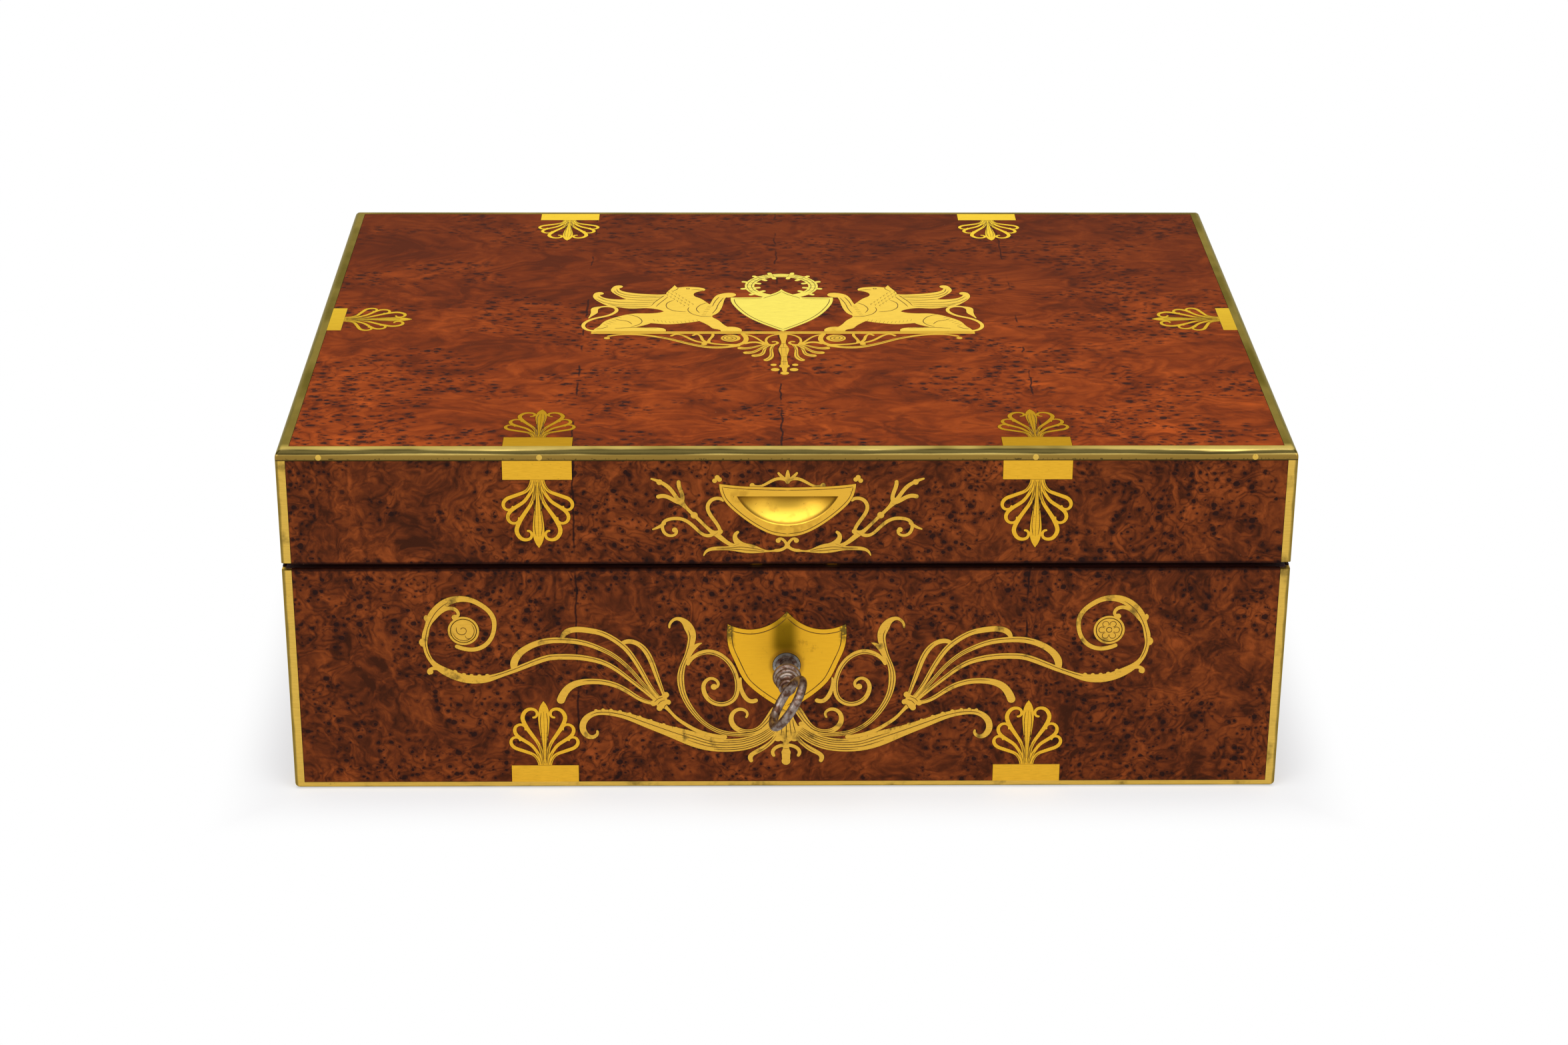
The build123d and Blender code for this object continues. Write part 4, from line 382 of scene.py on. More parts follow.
def moulding_brass(name):
    """Rounded edge of the lid: a painted highlight on a bright upper line, a painted reflection in a dark
    olive band along the middle of the curve that comes and goes, and painted shade on a duller band below it."""
    g = Graph(name)
    spot = g.split(g.mm)
    down = g.minus(top_z, spot[2])
    come_and_go = g.noise(g.move(g.mm, (0.016, 0.016, 0.3)), 1.0, 3, 0.55)
    lines = g.noise(g.move(g.mm, (0.1, 0.1, 5)), 1.0, 3, 0.6)
    fine = g.noise(g.mm, 1 / 1.2, 3, 0.6)
    # Painted reflection: a dark olive band along the middle of the curve, which comes and goes
    drift = g.times(g.minus(come_and_go, 0.5), 2.0)
    reflection_band = g.size(g.minus(g.plus(down, drift), 1.0))
    reflection_band = g.times(g.step(reflection_band, 1.0, 0.45), g.step(come_and_go, 0.3, 0.42))
    # Painted highlight on the upper line and painted shade on the duller band below it
    colour = g.mix(g.step(down, 1.2, 2.2), rgb(222, 196, 112), rgb(150, 120, 54))
    colour = g.stain(colour, lines, 0.6, rgb(120, 96, 44))
    colour = g.stain(colour, reflection_band, 0.94, rgb(34, 30, 12))
    # Painted shade: away from the front the moulding is darker
    side_shade = g.step(spot[1], front_y + 3, front_y + 8)
    side_shade = g.times(side_shade, g.plus(0.65, g.times(g.step(come_and_go, 0.6, 0.4), 0.3)))
    colour = g.mix(side_shade, colour, rgb(48, 40, 18))
    dirt = g.most(g.step(fine, 0.56, 0.66), g.step(down, 3.6, 3.9))
    dirt = g.times(dirt, g.step(down, 2.8, 3.6))
    colour = g.stain(colour, dirt, 0.8, rgb(40, 34, 20))
    rough = g.plus(0.24, g.times(fine, 0.16))
    return g.metal(colour, rough, lines, fine, 0.12, 0.0001)


def dark_steel(name, base, rust, rough_low):
    """Old steel with brown patina and worn bright spots."""
    g = Graph(name)
    cloud = g.noise(g.mm, 1 / 3.5, 4, 0.6)
    grain = g.noise(g.mm, 1 / 0.5, 3, 0.6)
    colour = g.mix(g.step(cloud, 0.42, 0.62), base, rust)
    colour = g.stain(colour, g.step(grain, 0.6, 0.72), 0.5, faded(rust, 0.3))
    rough = g.plus(rough_low, g.times(cloud, 0.3))
    normal = g.bump(g.plus(cloud, grain), 0.35, 0.00012)
    return g.finish(colour, rough, normal, Metallic=0.9)


def plain_wood(name, dark, bright, along, rough_base, coat):
    """Straight-grained wood; along is the stretch of the grain in X, Y and Z."""
    g = Graph(name)
    waved = g.bend(g.mm, 1 / 60, 6)
    bands = g.noise(g.move(waved, along), 1.0, 4, 0.6, 0.4)
    pores = g.noise(g.move(waved, [a * 7 for a in along]), 1.0, 2, 0.5)
    colour = g.ramp(bands, [(0.3, dark), (0.7, bright)])
    colour = g.stain(colour, g.step(pores, 0.6, 0.72), 0.6, faded(dark, 0.4))
    normal = g.bump(pores, 0.15, 0.0002)
    rough = g.plus(rough_base, g.times(bands, 0.15))
    return g.finish(colour, rough, normal, Coat_Weight=coat, Coat_Roughness=0.12)


def velvet(name, deep, lit):
    """Short pile: mottled where it has been brushed, with sheen."""
    g = Graph(name)
    brushed = g.noise(g.bend(g.mm, 1 / 25, 10), 1 / 24, 3, 0.6)
    pile = g.noise(g.mm, 1 / 0.35, 2, 0.7)
    colour = g.ramp(g.plus(g.times(brushed, 0.7), g.times(pile, 0.3)), [(0.38, deep), (0.66, lit)])
    normal = g.bump(pile, 0.5, 0.0004)
    return g.finish(colour, 0.85, normal, Sheen_Weight=0.6, Sheen_Roughness=0.4)


def clear_glass(name):
    """Old clear glass with a faint green tint and slight waves."""
    g = Graph(name)
    waves = g.noise(g.place, 60)
    seeds = g.step(g.noise(g.place, 900, 1, 0.5), 0.74, 0.78)
    colour = g.mix(waves, rgb(238, 246, 240), rgb(250, 252, 250))
    rough = g.plus(0.02, g.times(seeds, 0.2))
    return g.finish(colour, rough, g.bump(waves, 0.2, 0.0005), Transmission_Weight=1.0, IOR=1.5)


def silvered_glass(name):
    """Old looking glass with foxing at places."""
    g = Graph(name)
    spots = g.step(g.noise(g.bend(g.mm, 1 / 12, 6), 1 / 7, 4, 0.65), 0.64, 0.76)
    colour = g.mix(spots, rgb(226, 230, 232), rgb(92, 84, 70))
    rough = g.plus(0.02, g.times(spots, 0.35))
    return g.finish(colour, rough, None, Metallic=1.0)


def dark_line(name):
    """Old polish and dirt in an engraved line."""
    g = Graph(name)
    grime = g.noise(g.mm, 1 / 2.2, 3, 0.6)
    colour = g.mix(g.step(grime, 0.4, 0.65), rgb(62, 40, 14), rgb(122, 84, 30))
    return g.finish(colour, g.plus(0.5, g.times(grime, 0.3)), Specular_IOR_Level=0.1)


front_tones = (rgb(64, 30, 15), rgb(98, 45, 20), rgb(130, 62, 25))
front_burr = burr_veneer("front_burr", *front_tones, 1.2, 0.05, 1.15, (13, 0, 31), (-84.0, 96.0), (0, 2))
end_burr = burr_veneer("end_burr", *front_tones, 1.2, 0.05, 1.0, (71, 20, 5), (), (1, 2))
top_burr = burr_veneer("top_burr", rgb(98, 38, 8), rgb(128, 51, 10), rgb(152, 65, 16), 2.1, -0.01, 1.6,
                       (40, 55, 9), (-85.0, -2.0, 101.0), (0, 1))
# The brass in the lid top takes painted light, darker at the front and brighter at the back
inlay_brass = brass("inlay_brass", rgb(232, 178, 50), rgb(134, 100, 34), 0.36, (0.25, 4, 3), 0.34, 26,
                    (rgb(190, 142, 30), rgb(252, 216, 66)))
crest_brass = brass("crest_brass", rgb(252, 214, 92), rgb(196, 152, 56), 0.36, (0.25, 4, 3), 0.3)
pendant_brass = brass("pendant_brass", rgb(236, 190, 72), rgb(150, 112, 40), 0.4, (0.25, 4, 3), 0.32, 12)
crest_gilt = brass("crest_gilt", rgb(255, 240, 116), rgb(232, 196, 84), 0.3, (0.25, 4, 3), 0.3)
edge_brass = brass("edge_brass", rgb(220, 180, 80), rgb(112, 92, 42), 0.46, (0.2, 0.2, 5), 0.24, 18,
                   arris=rgb(92, 80, 36))
key_shield_brass = shield_brass("key_shield_brass")
lid_edge_brass = moulding_brass("lid_edge_brass")
scroll_brass = brass("scroll_brass", rgb(226, 176, 66), rgb(104, 84, 42), 0.45, (0.25, 4, 3), 0.34, 8)
pull_brass = pull_plate_brass("pull_brass")
hinge_brass = brass("hinge_brass", rgb(198, 160, 76), rgb(84, 66, 30), 0.45, (0.3, 3, 3), 0.3)
gilt = brass("gilt", rgb(206, 158, 72), rgb(136, 98, 42), 0.4, (3, 3, 0.3), 0.2)
steel = dark_steel("steel", rgb(150, 148, 144), rgb(84, 72, 60), 0.22)
key_steel = dark_steel("key_steel", rgb(140, 126, 116), rgb(84, 56, 42), 0.24)
carcass = plain_wood("carcass", rgb(40, 11, 8), rgb(68, 22, 15), (0.02, 0.25, 0.25), 0.45, 0.1)
mahogany = plain_wood("mahogany", rgb(66, 22, 14), rgb(116, 46, 26), (0.012, 0.2, 0.2), 0.3, 0.4)
rim_wood = plain_wood("rim_wood", rgb(46, 10, 8), rgb(84, 22, 16), (0.012, 0.2, 0.2), 0.3, 0.4)
lining = velvet("lining", rgb(58, 8, 14), rgb(112, 22, 30))
flask_glass = clear_glass("flask_glass")
mirror = silvered_glass("mirror")


def dress(material, *names):
    """Put one material on every slot of these CAD nodes."""
    for name in names:
        for slot in nodes[name].material_slots:
            slot.material = material


dress(front_burr, "base_front_veneer", "base_back_veneer", "lid_front_veneer", "lid_back_veneer")
dress(end_burr, "base_left_veneer", "base_right_veneer", "lid_left_veneer", "lid_right_veneer")
dress(top_burr, "lid_top_veneer")
dress(inlay_brass, "base_palmettes", "lid_palmettes")
dress(scroll_brass, "front_scroll", "pull_sprigs")
dress(key_shield_brass, "escutcheon_shield")
dress(crest_brass, "griffins")
dress(pendant_brass, "pendant_foliage")
dress(crest_gilt, "crest_shield")
dress(pull_brass, "finger_pull")
dress(edge_brass, "base_corner_strips", "base_bottom_strips", "lid_corner_strips", "moulding_pins")
dress(lid_edge_brass, "lid_top_moulding")
dress(hinge_brass, "hinge_leaves_base", "hinge_leaves_lid", "hinge_pins")
dress(hinge_brass, "lock_case", "lock_cover", "link_plate")
dress(gilt, "flask_caps")
dress(steel, "lock_nozzle", "lock_bolt", "base_screws", "lid_screws")
dress(key_steel, "key", "key_barrel")
for side in ("front", "back", "left", "right"):
    dress(carcass, "base_" + side + "_board", "lid_" + side + "_board")
dress(carcass, "base_bottom_board", "lid_top_board")
dress(rim_wood, "liner_long_boards", "liner_end_boards")
dress(mahogany, "long_partition", "cross_partitions", "tray_runners", "tray_floor", "tray_walls",
      "tray_dividers", "mirror_frame")
dress(lining, "base_lining", "lid_lining")
dress(flask_glass, "flasks")
dress(mirror, "mirror_glass")


# Meshes made in code

def added(name, data):
    """New object in the scene."""
    made = bpy.data.objects.new(name, data)
    bpy.context.scene.collection.objects.link(made)
    return made


def mesh_piece(name, points, faces, material, body, smooth=False):
    """Closed mesh from points in metres; it rides on a body and takes its finish from a slot."""
    mesh = bpy.data.meshes.new(name)
    mesh.from_pydata(points, [], faces)
    work = bmesh.new()
    work.from_mesh(mesh)
    bmesh.ops.recalc_face_normals(work, faces=work.faces)
    work.to_mesh(mesh)
    work.free()
    mesh.materials.append(material)
    for face in mesh.polygons:
        face.use_smooth = smooth
    made = added(name, mesh)
    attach(made, body)
    return made


def curve_through(points, steps=6):
    """Smooth course through points, each of two or three numbers."""
    made = []
    last = len(points) - 1
    for i in range(last):
        four = (points[max(i - 1, 0)], points[i], points[i + 1], points[min(i + 2, last)])
        for k in range(steps):
            t = k / steps
            made.append(tuple(0.5 * (2 * b + (c - a) * t + (2 * a - 5 * b + 4 * c - d) * t * t
                                     + (3 * b - a - 3 * c + d) * t ** 3) for a, b, c, d in zip(*four)))
    made.append(tuple(points[-1]))
    return made


def left_of(course):
    """Flat directions to the left of a course, one at each of its points."""
    made = []
    for i in range(len(course)):
        a, b = course[max(i - 1, 0)], course[min(i + 1, len(course) - 1)]
        length = math.dist(a[:2], b[:2]) or 1.0
        made.append(((a[1] - b[1]) / length, (b[0] - a[0]) / length))
    return made


def mirrored(course):
    return [(-p[0], *p[1:]) for p in course]


def vein(course, share, start=0.0, end=1.0):
    """Part of a course of (x, y, width), moved to its left by a share of its width."""
    smooth = curve_through(course)
    pairs = zip(smooth, left_of(smooth))
    moved = [(p[0] + n[0] * share * p[2], p[1] + n[1] * share * p[2]) for p, n in pairs]
    count = len(moved) - 1
    return moved[round(start * count):round(end * count) + 1]


def edge_spots(course, places, share):
    """Spots to the left of some points of a course, by a share of its width, with the way out."""
    sides = left_of(course)
    for i in places:
        x, y, width = course[i]
        out = sides[i]
        yield x + out[0] * width * share, y + out[1] * width * share, out


def inset(runs, gap):
    """Lines at a gap inside the right half of an outline, whose runs go round it clockwise."""
    lines = [curve_through(run, 12) for run in runs]
    edge = [p for line in lines for p in line + mirrored(line)]
    made = []
    for line in lines:
        moved = [(p[0] - n[0] * gap, p[1] - n[1] * gap) for p, n in zip(line, left_of(line))]
        made.append([p for p in moved if p[0] >= 0 and min(math.dist(p, q) for q in edge) > 0.97 * gap])
    return made


def toward(turn):
    """Flat direction at an angle in degrees."""
    return (math.cos(math.radians(turn)), math.sin(math.radians(turn)))


def arc(x, y, radius, start, end, final=None):
    """Arc or spiral about a spot, from one angle to another in degrees."""
    count = max(6, int(abs(end - start) / 9))
    last = radius if final is None else final
    made = []
    for i in range(count + 1):
        ray = toward(start + (end - start) * i / count)
        r = radius + (last - radius) * i / count
        made.append((x + r * ray[0], y + r * ray[1]))
    return made


class Engraving:
    """Fine lines on one face, joined into one piece. put turns millimetres along, up and out of the
    face into metres of the frame; the lines stand out by proud and reach in by sunk."""

    sunk = 0.02

    def __init__(self, put, proud=0.03):
        self.put = put
        self.proud = proud
        self.points = []
        self.faces = []

    def line(self, course, width=0.3):
        """A line that narrows at both ends."""
        first = len(self.points)
        corners = ((1, -self.sunk), (-1, -self.sunk), (-1, self.proud), (1, self.proud))
        last = len(course) - 1
        for i, (p, n) in enumerate(zip(course, left_of(course))):
            half = width / 2 * min(1.0, 0.35 + 0.22 * min(i, last - i))
            for side, height in corners:
                self.points.append(self.put(p[0] + side * half * n[0], p[1] + side * half * n[1], height))
        for i in range(last):
            for k in range(4):
                a, b = first + 4 * i + k, first + 4 * i + (k + 1) % 4
                self.faces.append((a, b, b + 4, a + 4))
        end = first + 4 * last
        self.faces.append((first + 3, first + 2, first + 1, first))
        self.faces.append((end, end + 1, end + 2, end + 3))

    def pair(self, course, width=0.3):
        """A line and its mirror image."""
        self.line(course, width)
        self.line(mirrored(course), width)

    def finish(self, name, body, material=None):
        return mesh_piece(name, self.points, self.faces, material or engraved, body)


def on_front(u, v, out):
    return (u * MM, (front_y - out) * MM, v * MM)


def on_top(u, v, out):
    return (u * MM, v * MM, (top_z + out) * MM)


def on_end(side):
    """The left end with -1 and the right one with 1."""
    return lambda u, v, out: (side * (half_width + out) * MM, u * MM, v * MM)


# Engraving on the front of the case, drawn from the middle of its foot, and the shield from the keyhole

shield_runs = [
    [(0, 24.0), (4.5, 19.5), (9.3, 16.9), (14, 15.95), (19, 16.5), (23.6, 18.3)],
    [(23.6, 18.3), (23.8, 12.3), (23, 7.3), (20.8, 1.7), (17.1, -6.4), (13.3, -10.8), (9.3, -14.2),
     (4.9, -17.4), (0, -20.5)],
]
great_leaf = [
    (5.5, 26.5, 4.0), (10.5, 22.8, 5.0), (16.5, 20.4, 5.6), (23, 19.6, 5.8), (30.3, 20.1, 6.1),
    (38, 22.6, 6.6), (47, 26, 4.9), (57, 30, 3.8), (65, 33.2, 3.0), (72, 34.7, 2.5), (77.5, 34.3, 2.3),
    (81.3, 31.5, 2.6), (82.4, 28, 2.6), (81.3, 24.9, 2.4),
]
rising_leaf = [
    (44.1, 76.6, 1.4), (41.6, 75.9, 2.2), (39.4, 73.1, 3.6), (38, 69.4, 3.4), (38.5, 65, 2.8),
    (40.1, 60, 2.0), (41.9, 55, 2.3), (42.6, 50, 2.8), (41.8, 43.75, 2.4), (39.5, 38.1, 2.2),
    (35.25, 31.9, 1.9), (31, 28.1, 1.8), (26, 25.6, 1.9), (21, 24.7, 1.9), (14.75, 25, 2.0),
    (9.75, 26.9, 2.0),
]
loop = [
    (36, 60.6, 1.8), (31, 61.9, 2.1), (26, 60, 2.0), (22.5, 56.2, 1.9), (20.3, 51, 1.9), (19.7, 46, 1.9),
    (21, 41, 1.9), (24, 38.7, 1.9), (27.5, 38.4, 1.9), (31, 40.2, 1.9), (33.2, 44, 1.8), (33, 48, 1.6),
]
small_curl = [(4.75, 35.6, 3.0), (7.9, 30.6, 2.6), (11.6, 26.9, 2.0), (16, 25.9, 1.8), (20.4, 27.5, 2.2),
              (22.3, 31.25, 2.0), (21, 35, 1.6)]
fronds = [
    [(49.4, 42.5, 1.3), (51, 47.5, 1.6), (52.6, 52.5, 2.0), (54.4, 58.1, 2.2), (56.6, 62.5, 2.2),
     (59.75, 65.6, 2.0), (62.9, 66.6, 2.0)],
    [(51, 41, 1.3), (55.4, 47.5, 1.6), (58.5, 53.75, 1.9), (61.6, 59.4, 2.0), (64.75, 63.75, 2.2),
     (69.1, 67.5, 2.2), (74.1, 70.3, 2.2), (79.75, 71.6, 2.4), (84.75, 71.9, 2.4)],
    [(51.8, 40.6, 1.2), (57.25, 46.9, 1.4), (61, 51.9, 1.5), (64.75, 56.25, 1.6), (69.75, 60.6, 1.8),
     (75.4, 63.75, 2.0), (81, 65.9, 2.2), (86.6, 66.9, 2.3), (95, 67, 2.5), (100, 65.75, 2.5),
     (103.75, 63.9, 2.6), (106.9, 61.4, 2.8)],
    [(54, 39, 1.6), (59.75, 41.25, 1.8), (64.1, 44.4, 2.0), (68.5, 46.9, 2.2), (73.5, 48.4, 2.3),
     (78.5, 48.75, 2.4), (83.5, 48.1, 2.7), (87.25, 46.25, 3.0)],
    [(52.6, 40, 1.3), (58.5, 45.6, 1.5), (63.5, 50, 1.7), (67.9, 53.75, 1.9), (72.9, 56.9, 2.1),
     (78.5, 58.75, 2.3), (84.75, 59.7, 2.4), (91, 59.8, 2.5), (95, 59.5, 2.5), (100, 57.9, 2.5),
     (105, 55.75, 2.4), (110, 53.6, 2.2), (115, 51.7, 2.2), (120, 50.1, 3.0), (125, 49.7, 3.6),
     (130, 50.3, 3.6), (135, 52.3, 3.6)],
]
end_scroll = [
    (142.5, 58.25, 1.9), (144.1, 62, 1.9), (144.7, 65.75, 1.9), (144.4, 69.5, 2.6), (143.4, 73.25, 2.2),
    (141.9, 77, 3.3), (139.4, 80.75, 3.5), (135.6, 83.9, 3.3), (131.25, 85.4, 2.8),
]
hub_x, hub_y = 129.1, 71.4

engraved = dark_line("engraved")
front_lines = Engraving(on_front)
for course in inset(shield_runs, 1.9):
    front_lines.pair([(u, v + keyhole_z) for u, v in course], 0.34)
for share, start, end in ((-0.34, 0.0, 0.3), (-0.18, 0.0, 0.4), (0.02, 0.0, 0.8), (0.2, 0.0, 0.42),
                          (0.35, 0.0, 0.26)):
    front_lines.pair(vein(great_leaf, share, start, end))
# Small notches on the upper edge of the great leaf
leaf_edge = curve_through(great_leaf)
for x, y, out in edge_spots(leaf_edge, range(24, 60, 3), 0.5):
    front_lines.pair([(x, y), (x - out[0] * 0.9 - 0.3, y - out[1] * 0.9)], 0.26)
for share, start, end in ((0.22, 0.15, 0.95), (-0.2, 0.35, 1.0)):
    front_lines.pair(vein(rising_leaf, share, start, end))
front_lines.pair(vein(loop, 0.2, 0.0, 0.85))
for share in (-0.22, 0.2):
    front_lines.pair(vein(small_curl, share, 0.0, 0.6))
for course in fronds:
    front_lines.pair(vein(course, 0.16, 0.03, 0.8), 0.28)
front_lines.pair(vein(fronds[2], -0.2, 0.0, 0.45), 0.24)
front_lines.pair(vein(end_scroll, 0.12, 0.0, 0.9), 0.28)
# Leaf below the shield, its two stems and the balls under it
for x, top, foot, spread in ((0, 33, 22.4, 0), (1.3, 32.6, 24.0, 0.8), (2.6, 31.4, 25.4, 1.2)):
    front_lines.pair(curve_through([(x, top), (x + 0.4 * spread, (top + foot) / 2), (x + spread, foot)]))
front_lines.pair(curve_through([(4, 24, 0), (7.9, 19.2, 0), (11.6, 16.6, 0)]), 0.24)
front_lines.line([(-1.7, 18.2), (0, 18.0), (1.7, 18.2)], 0.26)
# Ties where the fronds spring
for x0, y0, x1, y1 in ((48.9, 40.4, 52.0, 38.2), (49.8, 41.6, 53.2, 39.4), (47.6, 38.4, 49.4, 36.6)):
    front_lines.pair(curve_through([(x0, y0), ((x0 + x1) / 2 + 0.3, (y0 + y1) / 2 + 0.3), (x1, y1)]), 0.26)
# Rosette of the right scroll, and the curled leaf in the ball of the left one
front_lines.line(arc(hub_x, hub_y, 1.1, 0, 360))
for turn in range(0, 360, 60):
    x, y = toward(turn)
    front_lines.line(arc(hub_x + 2.9 * x, hub_y + 2.9 * y, 1.25, turn - 150, turn + 150), 0.26)
front_lines.line(arc(-hub_x, hub_y, 4.3, 200, 400))
front_lines.line(arc(-hub_x - 0.4, hub_y + 0.3, 2.6, 150, 520, 0.7))
front_lines.line(arc(-hub_x + 2.0, hub_y - 2.2, 1.3, 170, 330), 0.26)
front_lines.finish("front_engraving", "case")

# Small leaf tips, knobs and teeth on the edges of the scrolls, in the same brass
teeth = Engraving(on_front, 0.02)
teeth.pair(curve_through([(137.2, 53.4), (139.8, 54.6), (142.0, 54.7), (143.5, 53.6), (143.2, 52.0)]), 1.5)
teeth.pair(curve_through([(144.9, 64.6), (146.2, 66.2), (145.4, 68.0)]), 1.6)
teeth.pair(curve_through([(142.6, 75.4), (144.0, 76.8), (143.6, 78.4)]), 1.3)
scroll_edge = curve_through(fronds[4])
for x, y, out in edge_spots(scroll_edge, range(78, len(scroll_edge) - 2, 4), 0.42):
    teeth.pair(arc(x, y, 0.45, 0, 360), 0.9)
for x, y, out in edge_spots(leaf_edge, range(26, 62, 3), 0.4):
    teeth.pair(arc(x, y, 0.4, 0, 360), 0.8)
teeth.finish("scroll_teeth", "case", scroll_brass)

# Engraving on the lid front, drawn from the lip of the finger pull

pull_runs = [
    [(0, 3.7), (9, 3.9), (18, 4.3), (24, 4.9), (26.8, 5.3)],
    [(26.8, 5.3), (26.6, 2.9), (24.8, -1.8), (20, -7.1), (13.5, -12.3), (6.8, -16), (0, -17.3)],
]
pull_lines = Engraving(on_front)
for course in inset(pull_runs, 1.1):
    pull_lines.pair([(u, v + pull_lip_z) for u, v in course], 0.26)
low_leaf = [(9, -23.5, 1.2), (13, -22.8, 3.4), (18, -22.2, 3.8), (23, -22.3, 1.8), (28, -22.4, 1.6)]
for share in (-0.2, 0.1):
    pull_lines.pair([(u, v + pull_lip_z) for u, v in vein(low_leaf, share)], 0.24)
for x, y, dx, dy in ((41.2, -3.1, 2.6, -1.4), (27.4, -15.6, 2.2, -1.6), (19.0, -20.4, 2.4, -1.0)):
    pull_lines.pair([(x, y + pull_lip_z), (x + dx, y + dy + pull_lip_z)], 0.24)

# Palmettes: a midrib and side lines in the leaf, a line in each petal, and one along the foot

petals = [
    [(0.55, 0, 0.8), (0.9, 2, 1.0), (1.2, 5, 1.2), (1.9, 8.4, 1.3), (3, 10.9, 1.4), (4.8, 13.7, 1.5),
     (6.6, 16.5, 1.7), (8.1, 19.6, 1.7), (8.6, 21.8, 1.7), (7.9, 24, 1.6)],
    [(1.1, 0, 0.9), (1.5, 2, 1.0), (2.2, 4.3, 1.2), (3.5, 6.8, 1.3), (5.7, 9.6, 1.4), (8, 11.2, 1.5),
     (10.1, 12.8, 1.5)],
    [(2.2, 0, 1.2), (2.6, 2, 1.2), (4.3, 4.7, 1.3), (6.8, 6, 1.4), (9.8, 7.1, 1.5), (12.3, 8.3, 1.5)],
]
palmette_lines = [
    ([(0, 3), (0, 24.5)], 0.26),
    (curve_through([(0.4, 1.0), (0.75, 8), (1.25, 15), (1.5, 20), (1.0, 24)]), 0.26),
    ([(0, 0.05), (13.4, 0.05)], 0.3),
    (curve_through([(0.2, 0.6), (1.6, 9), (1.0, 15)]), 0.22),
] + [(vein(petal, -0.12, 0.02, 0.45), 0.22) for petal in petals]


def engrave_palmette(engraving, place, turn):
    """Lines of one palmette, whose foot has its top edge at place and which points to turn."""
    across, along = toward(turn - 90), toward(turn)
    for course, width in palmette_lines:
        for half in (course, mirrored(course)):
            laid = [[place[i] + p[0] * across[i] + p[1] * along[i] for i in (0, 1)] for p in half]
            engraving.line(laid, width)


# Where the palmettes stand: their distance from the middle, and the top edge of each foot
palmette_x = 98.0
base_foot_top = 10.6
lid_foot_top = 137.0
top_long_root = 134.0
top_side_root = 189.0
base_lines = Engraving(on_front)
for x in (-palmette_x, palmette_x):
    engrave_palmette(base_lines, (x, base_foot_top), 90)
    engrave_palmette(pull_lines, (x, lid_foot_top), -90)
base_lines.finish("base_palmette_engraving", "case")
pull_lines.finish("lid_front_engraving", "lid")
for side, name in ((-1, "left"), (1, "right")):
    for part, body, foot, turn in (("base", "case", base_foot_top, 90), ("lid", "lid", lid_foot_top, -90)):
        end_lines = Engraving(on_end(side))
        engrave_palmette(end_lines, (0, foot), turn)
        end_lines.finish(part + "_" + name + "_engraving", body)

# Engraving on the lid top, about its middle

crest_runs = [
    [(0, 38.1), (3.2, 33), (6.6, 29.8), (9, 27.6)],
    [(9, 27.6), (22.4, 27.3)],
    [(22.4, 27.3), (22.2, 22), (20.4, 14.9), (16.7, 5.8), (12.2, -1.5), (6, -8.7), (0, -14.9)],
]
feathers = [
    [(52, 29.3), (60, 29.2), (67, 30.6), (71.6, 34), (73, 38.6)],
    [(53, 27.3), (61, 27), (67, 27.8), (71.8, 31.3), (74, 36)],
    [(54, 24.4), (61, 24), (68.1, 25)],
    [(56, 21.6), (64, 20.9), (71, 21.4), (77, 23.9), (81, 28.6)],
    [(57, 19.2), (65, 18), (72, 18.4), (77.5, 20.8), (81.6, 25.6)],
    [(57, 16.6), (64, 15.5), (71, 16.2), (76, 18.6)],
    [(51.6, 30), (53.6, 26), (55.6, 21.6), (57, 17)],
    [(50, 28.4), (51.8, 24), (53.6, 19.8), (55, 15.6)],
]
body_lines = [
    [(47.5, 24), (50.3, 20), (50.2, 14.5), (47, 10.4), (42, 9.2)],
    [(30.6, 3.4), (35, 3.6), (39, 6.4), (41, 11), (40.6, 15)],
    [(33, 20.5), (35.8, 17.6), (37.4, 12.6), (36, 8)],
    [(25.6, 27), (27.6, 20), (28.8, 12.5), (30.4, 7)],
    [(27.6, 28), (29.4, 22), (30.4, 16)],
    [(67, 6), (62.6, 2.6), (60.6, -2.6), (62, -6.8), (65.2, -9.4)],
    [(72, -0.6), (67, -2.6), (64.8, -6.2)],
    [(75, -9.2), (77.6, -11.4), (80, -12)],
    [(54, -11), (64, -10.4), (72, -11.4)],
    [(34.6, 36.6), (37.4, 37.5), (39.8, 37.2)],
    [(45.6, 39.8), (46.4, 37.6), (47.8, 36.4)],
]
top_lines = Engraving(on_top)
for course in inset(crest_runs, 1.5):
    top_lines.pair(course, 0.34)
for courses, width in ((feathers, 0.34), (body_lines, 0.36)):
    for course in courses:
        top_lines.pair(curve_through(course), width)
top_lines.pair(arc(41.4, 38.9, 0.7, 0, 360), 0.3)
# Mane: rows of short curved strokes down the neck and breast
for row in range(7):
    for k in range(3):
        x, y = 48.6 - 1.5 * row + 1.9 * k, 36.2 - 2.7 * row - 0.8 * k
        top_lines.pair([(x, y), (x - 0.9, y - 1.1), (x - 0.5, y - 2.2)], 0.34)
# Shade strokes under the belly, on the thigh and on the breast
for k in range(12):
    x = 36.5 + 1.7 * k
    y = -2.6 - 2.6 * math.sin(math.pi * k / 11)
    top_lines.pair([(x, y), (x + 0.6, y + 2.4)], 0.28)
for k in range(6):
    for x, y, rise in ((30.6 + 0.5 * k, 16.5 - 2.2 * k, -0.4), (69.6 + 1.1 * k, 1.4 - 1.9 * k, 1.4)):
        top_lines.pair([(x, y), (x + 2.0, y + rise)], 0.28)
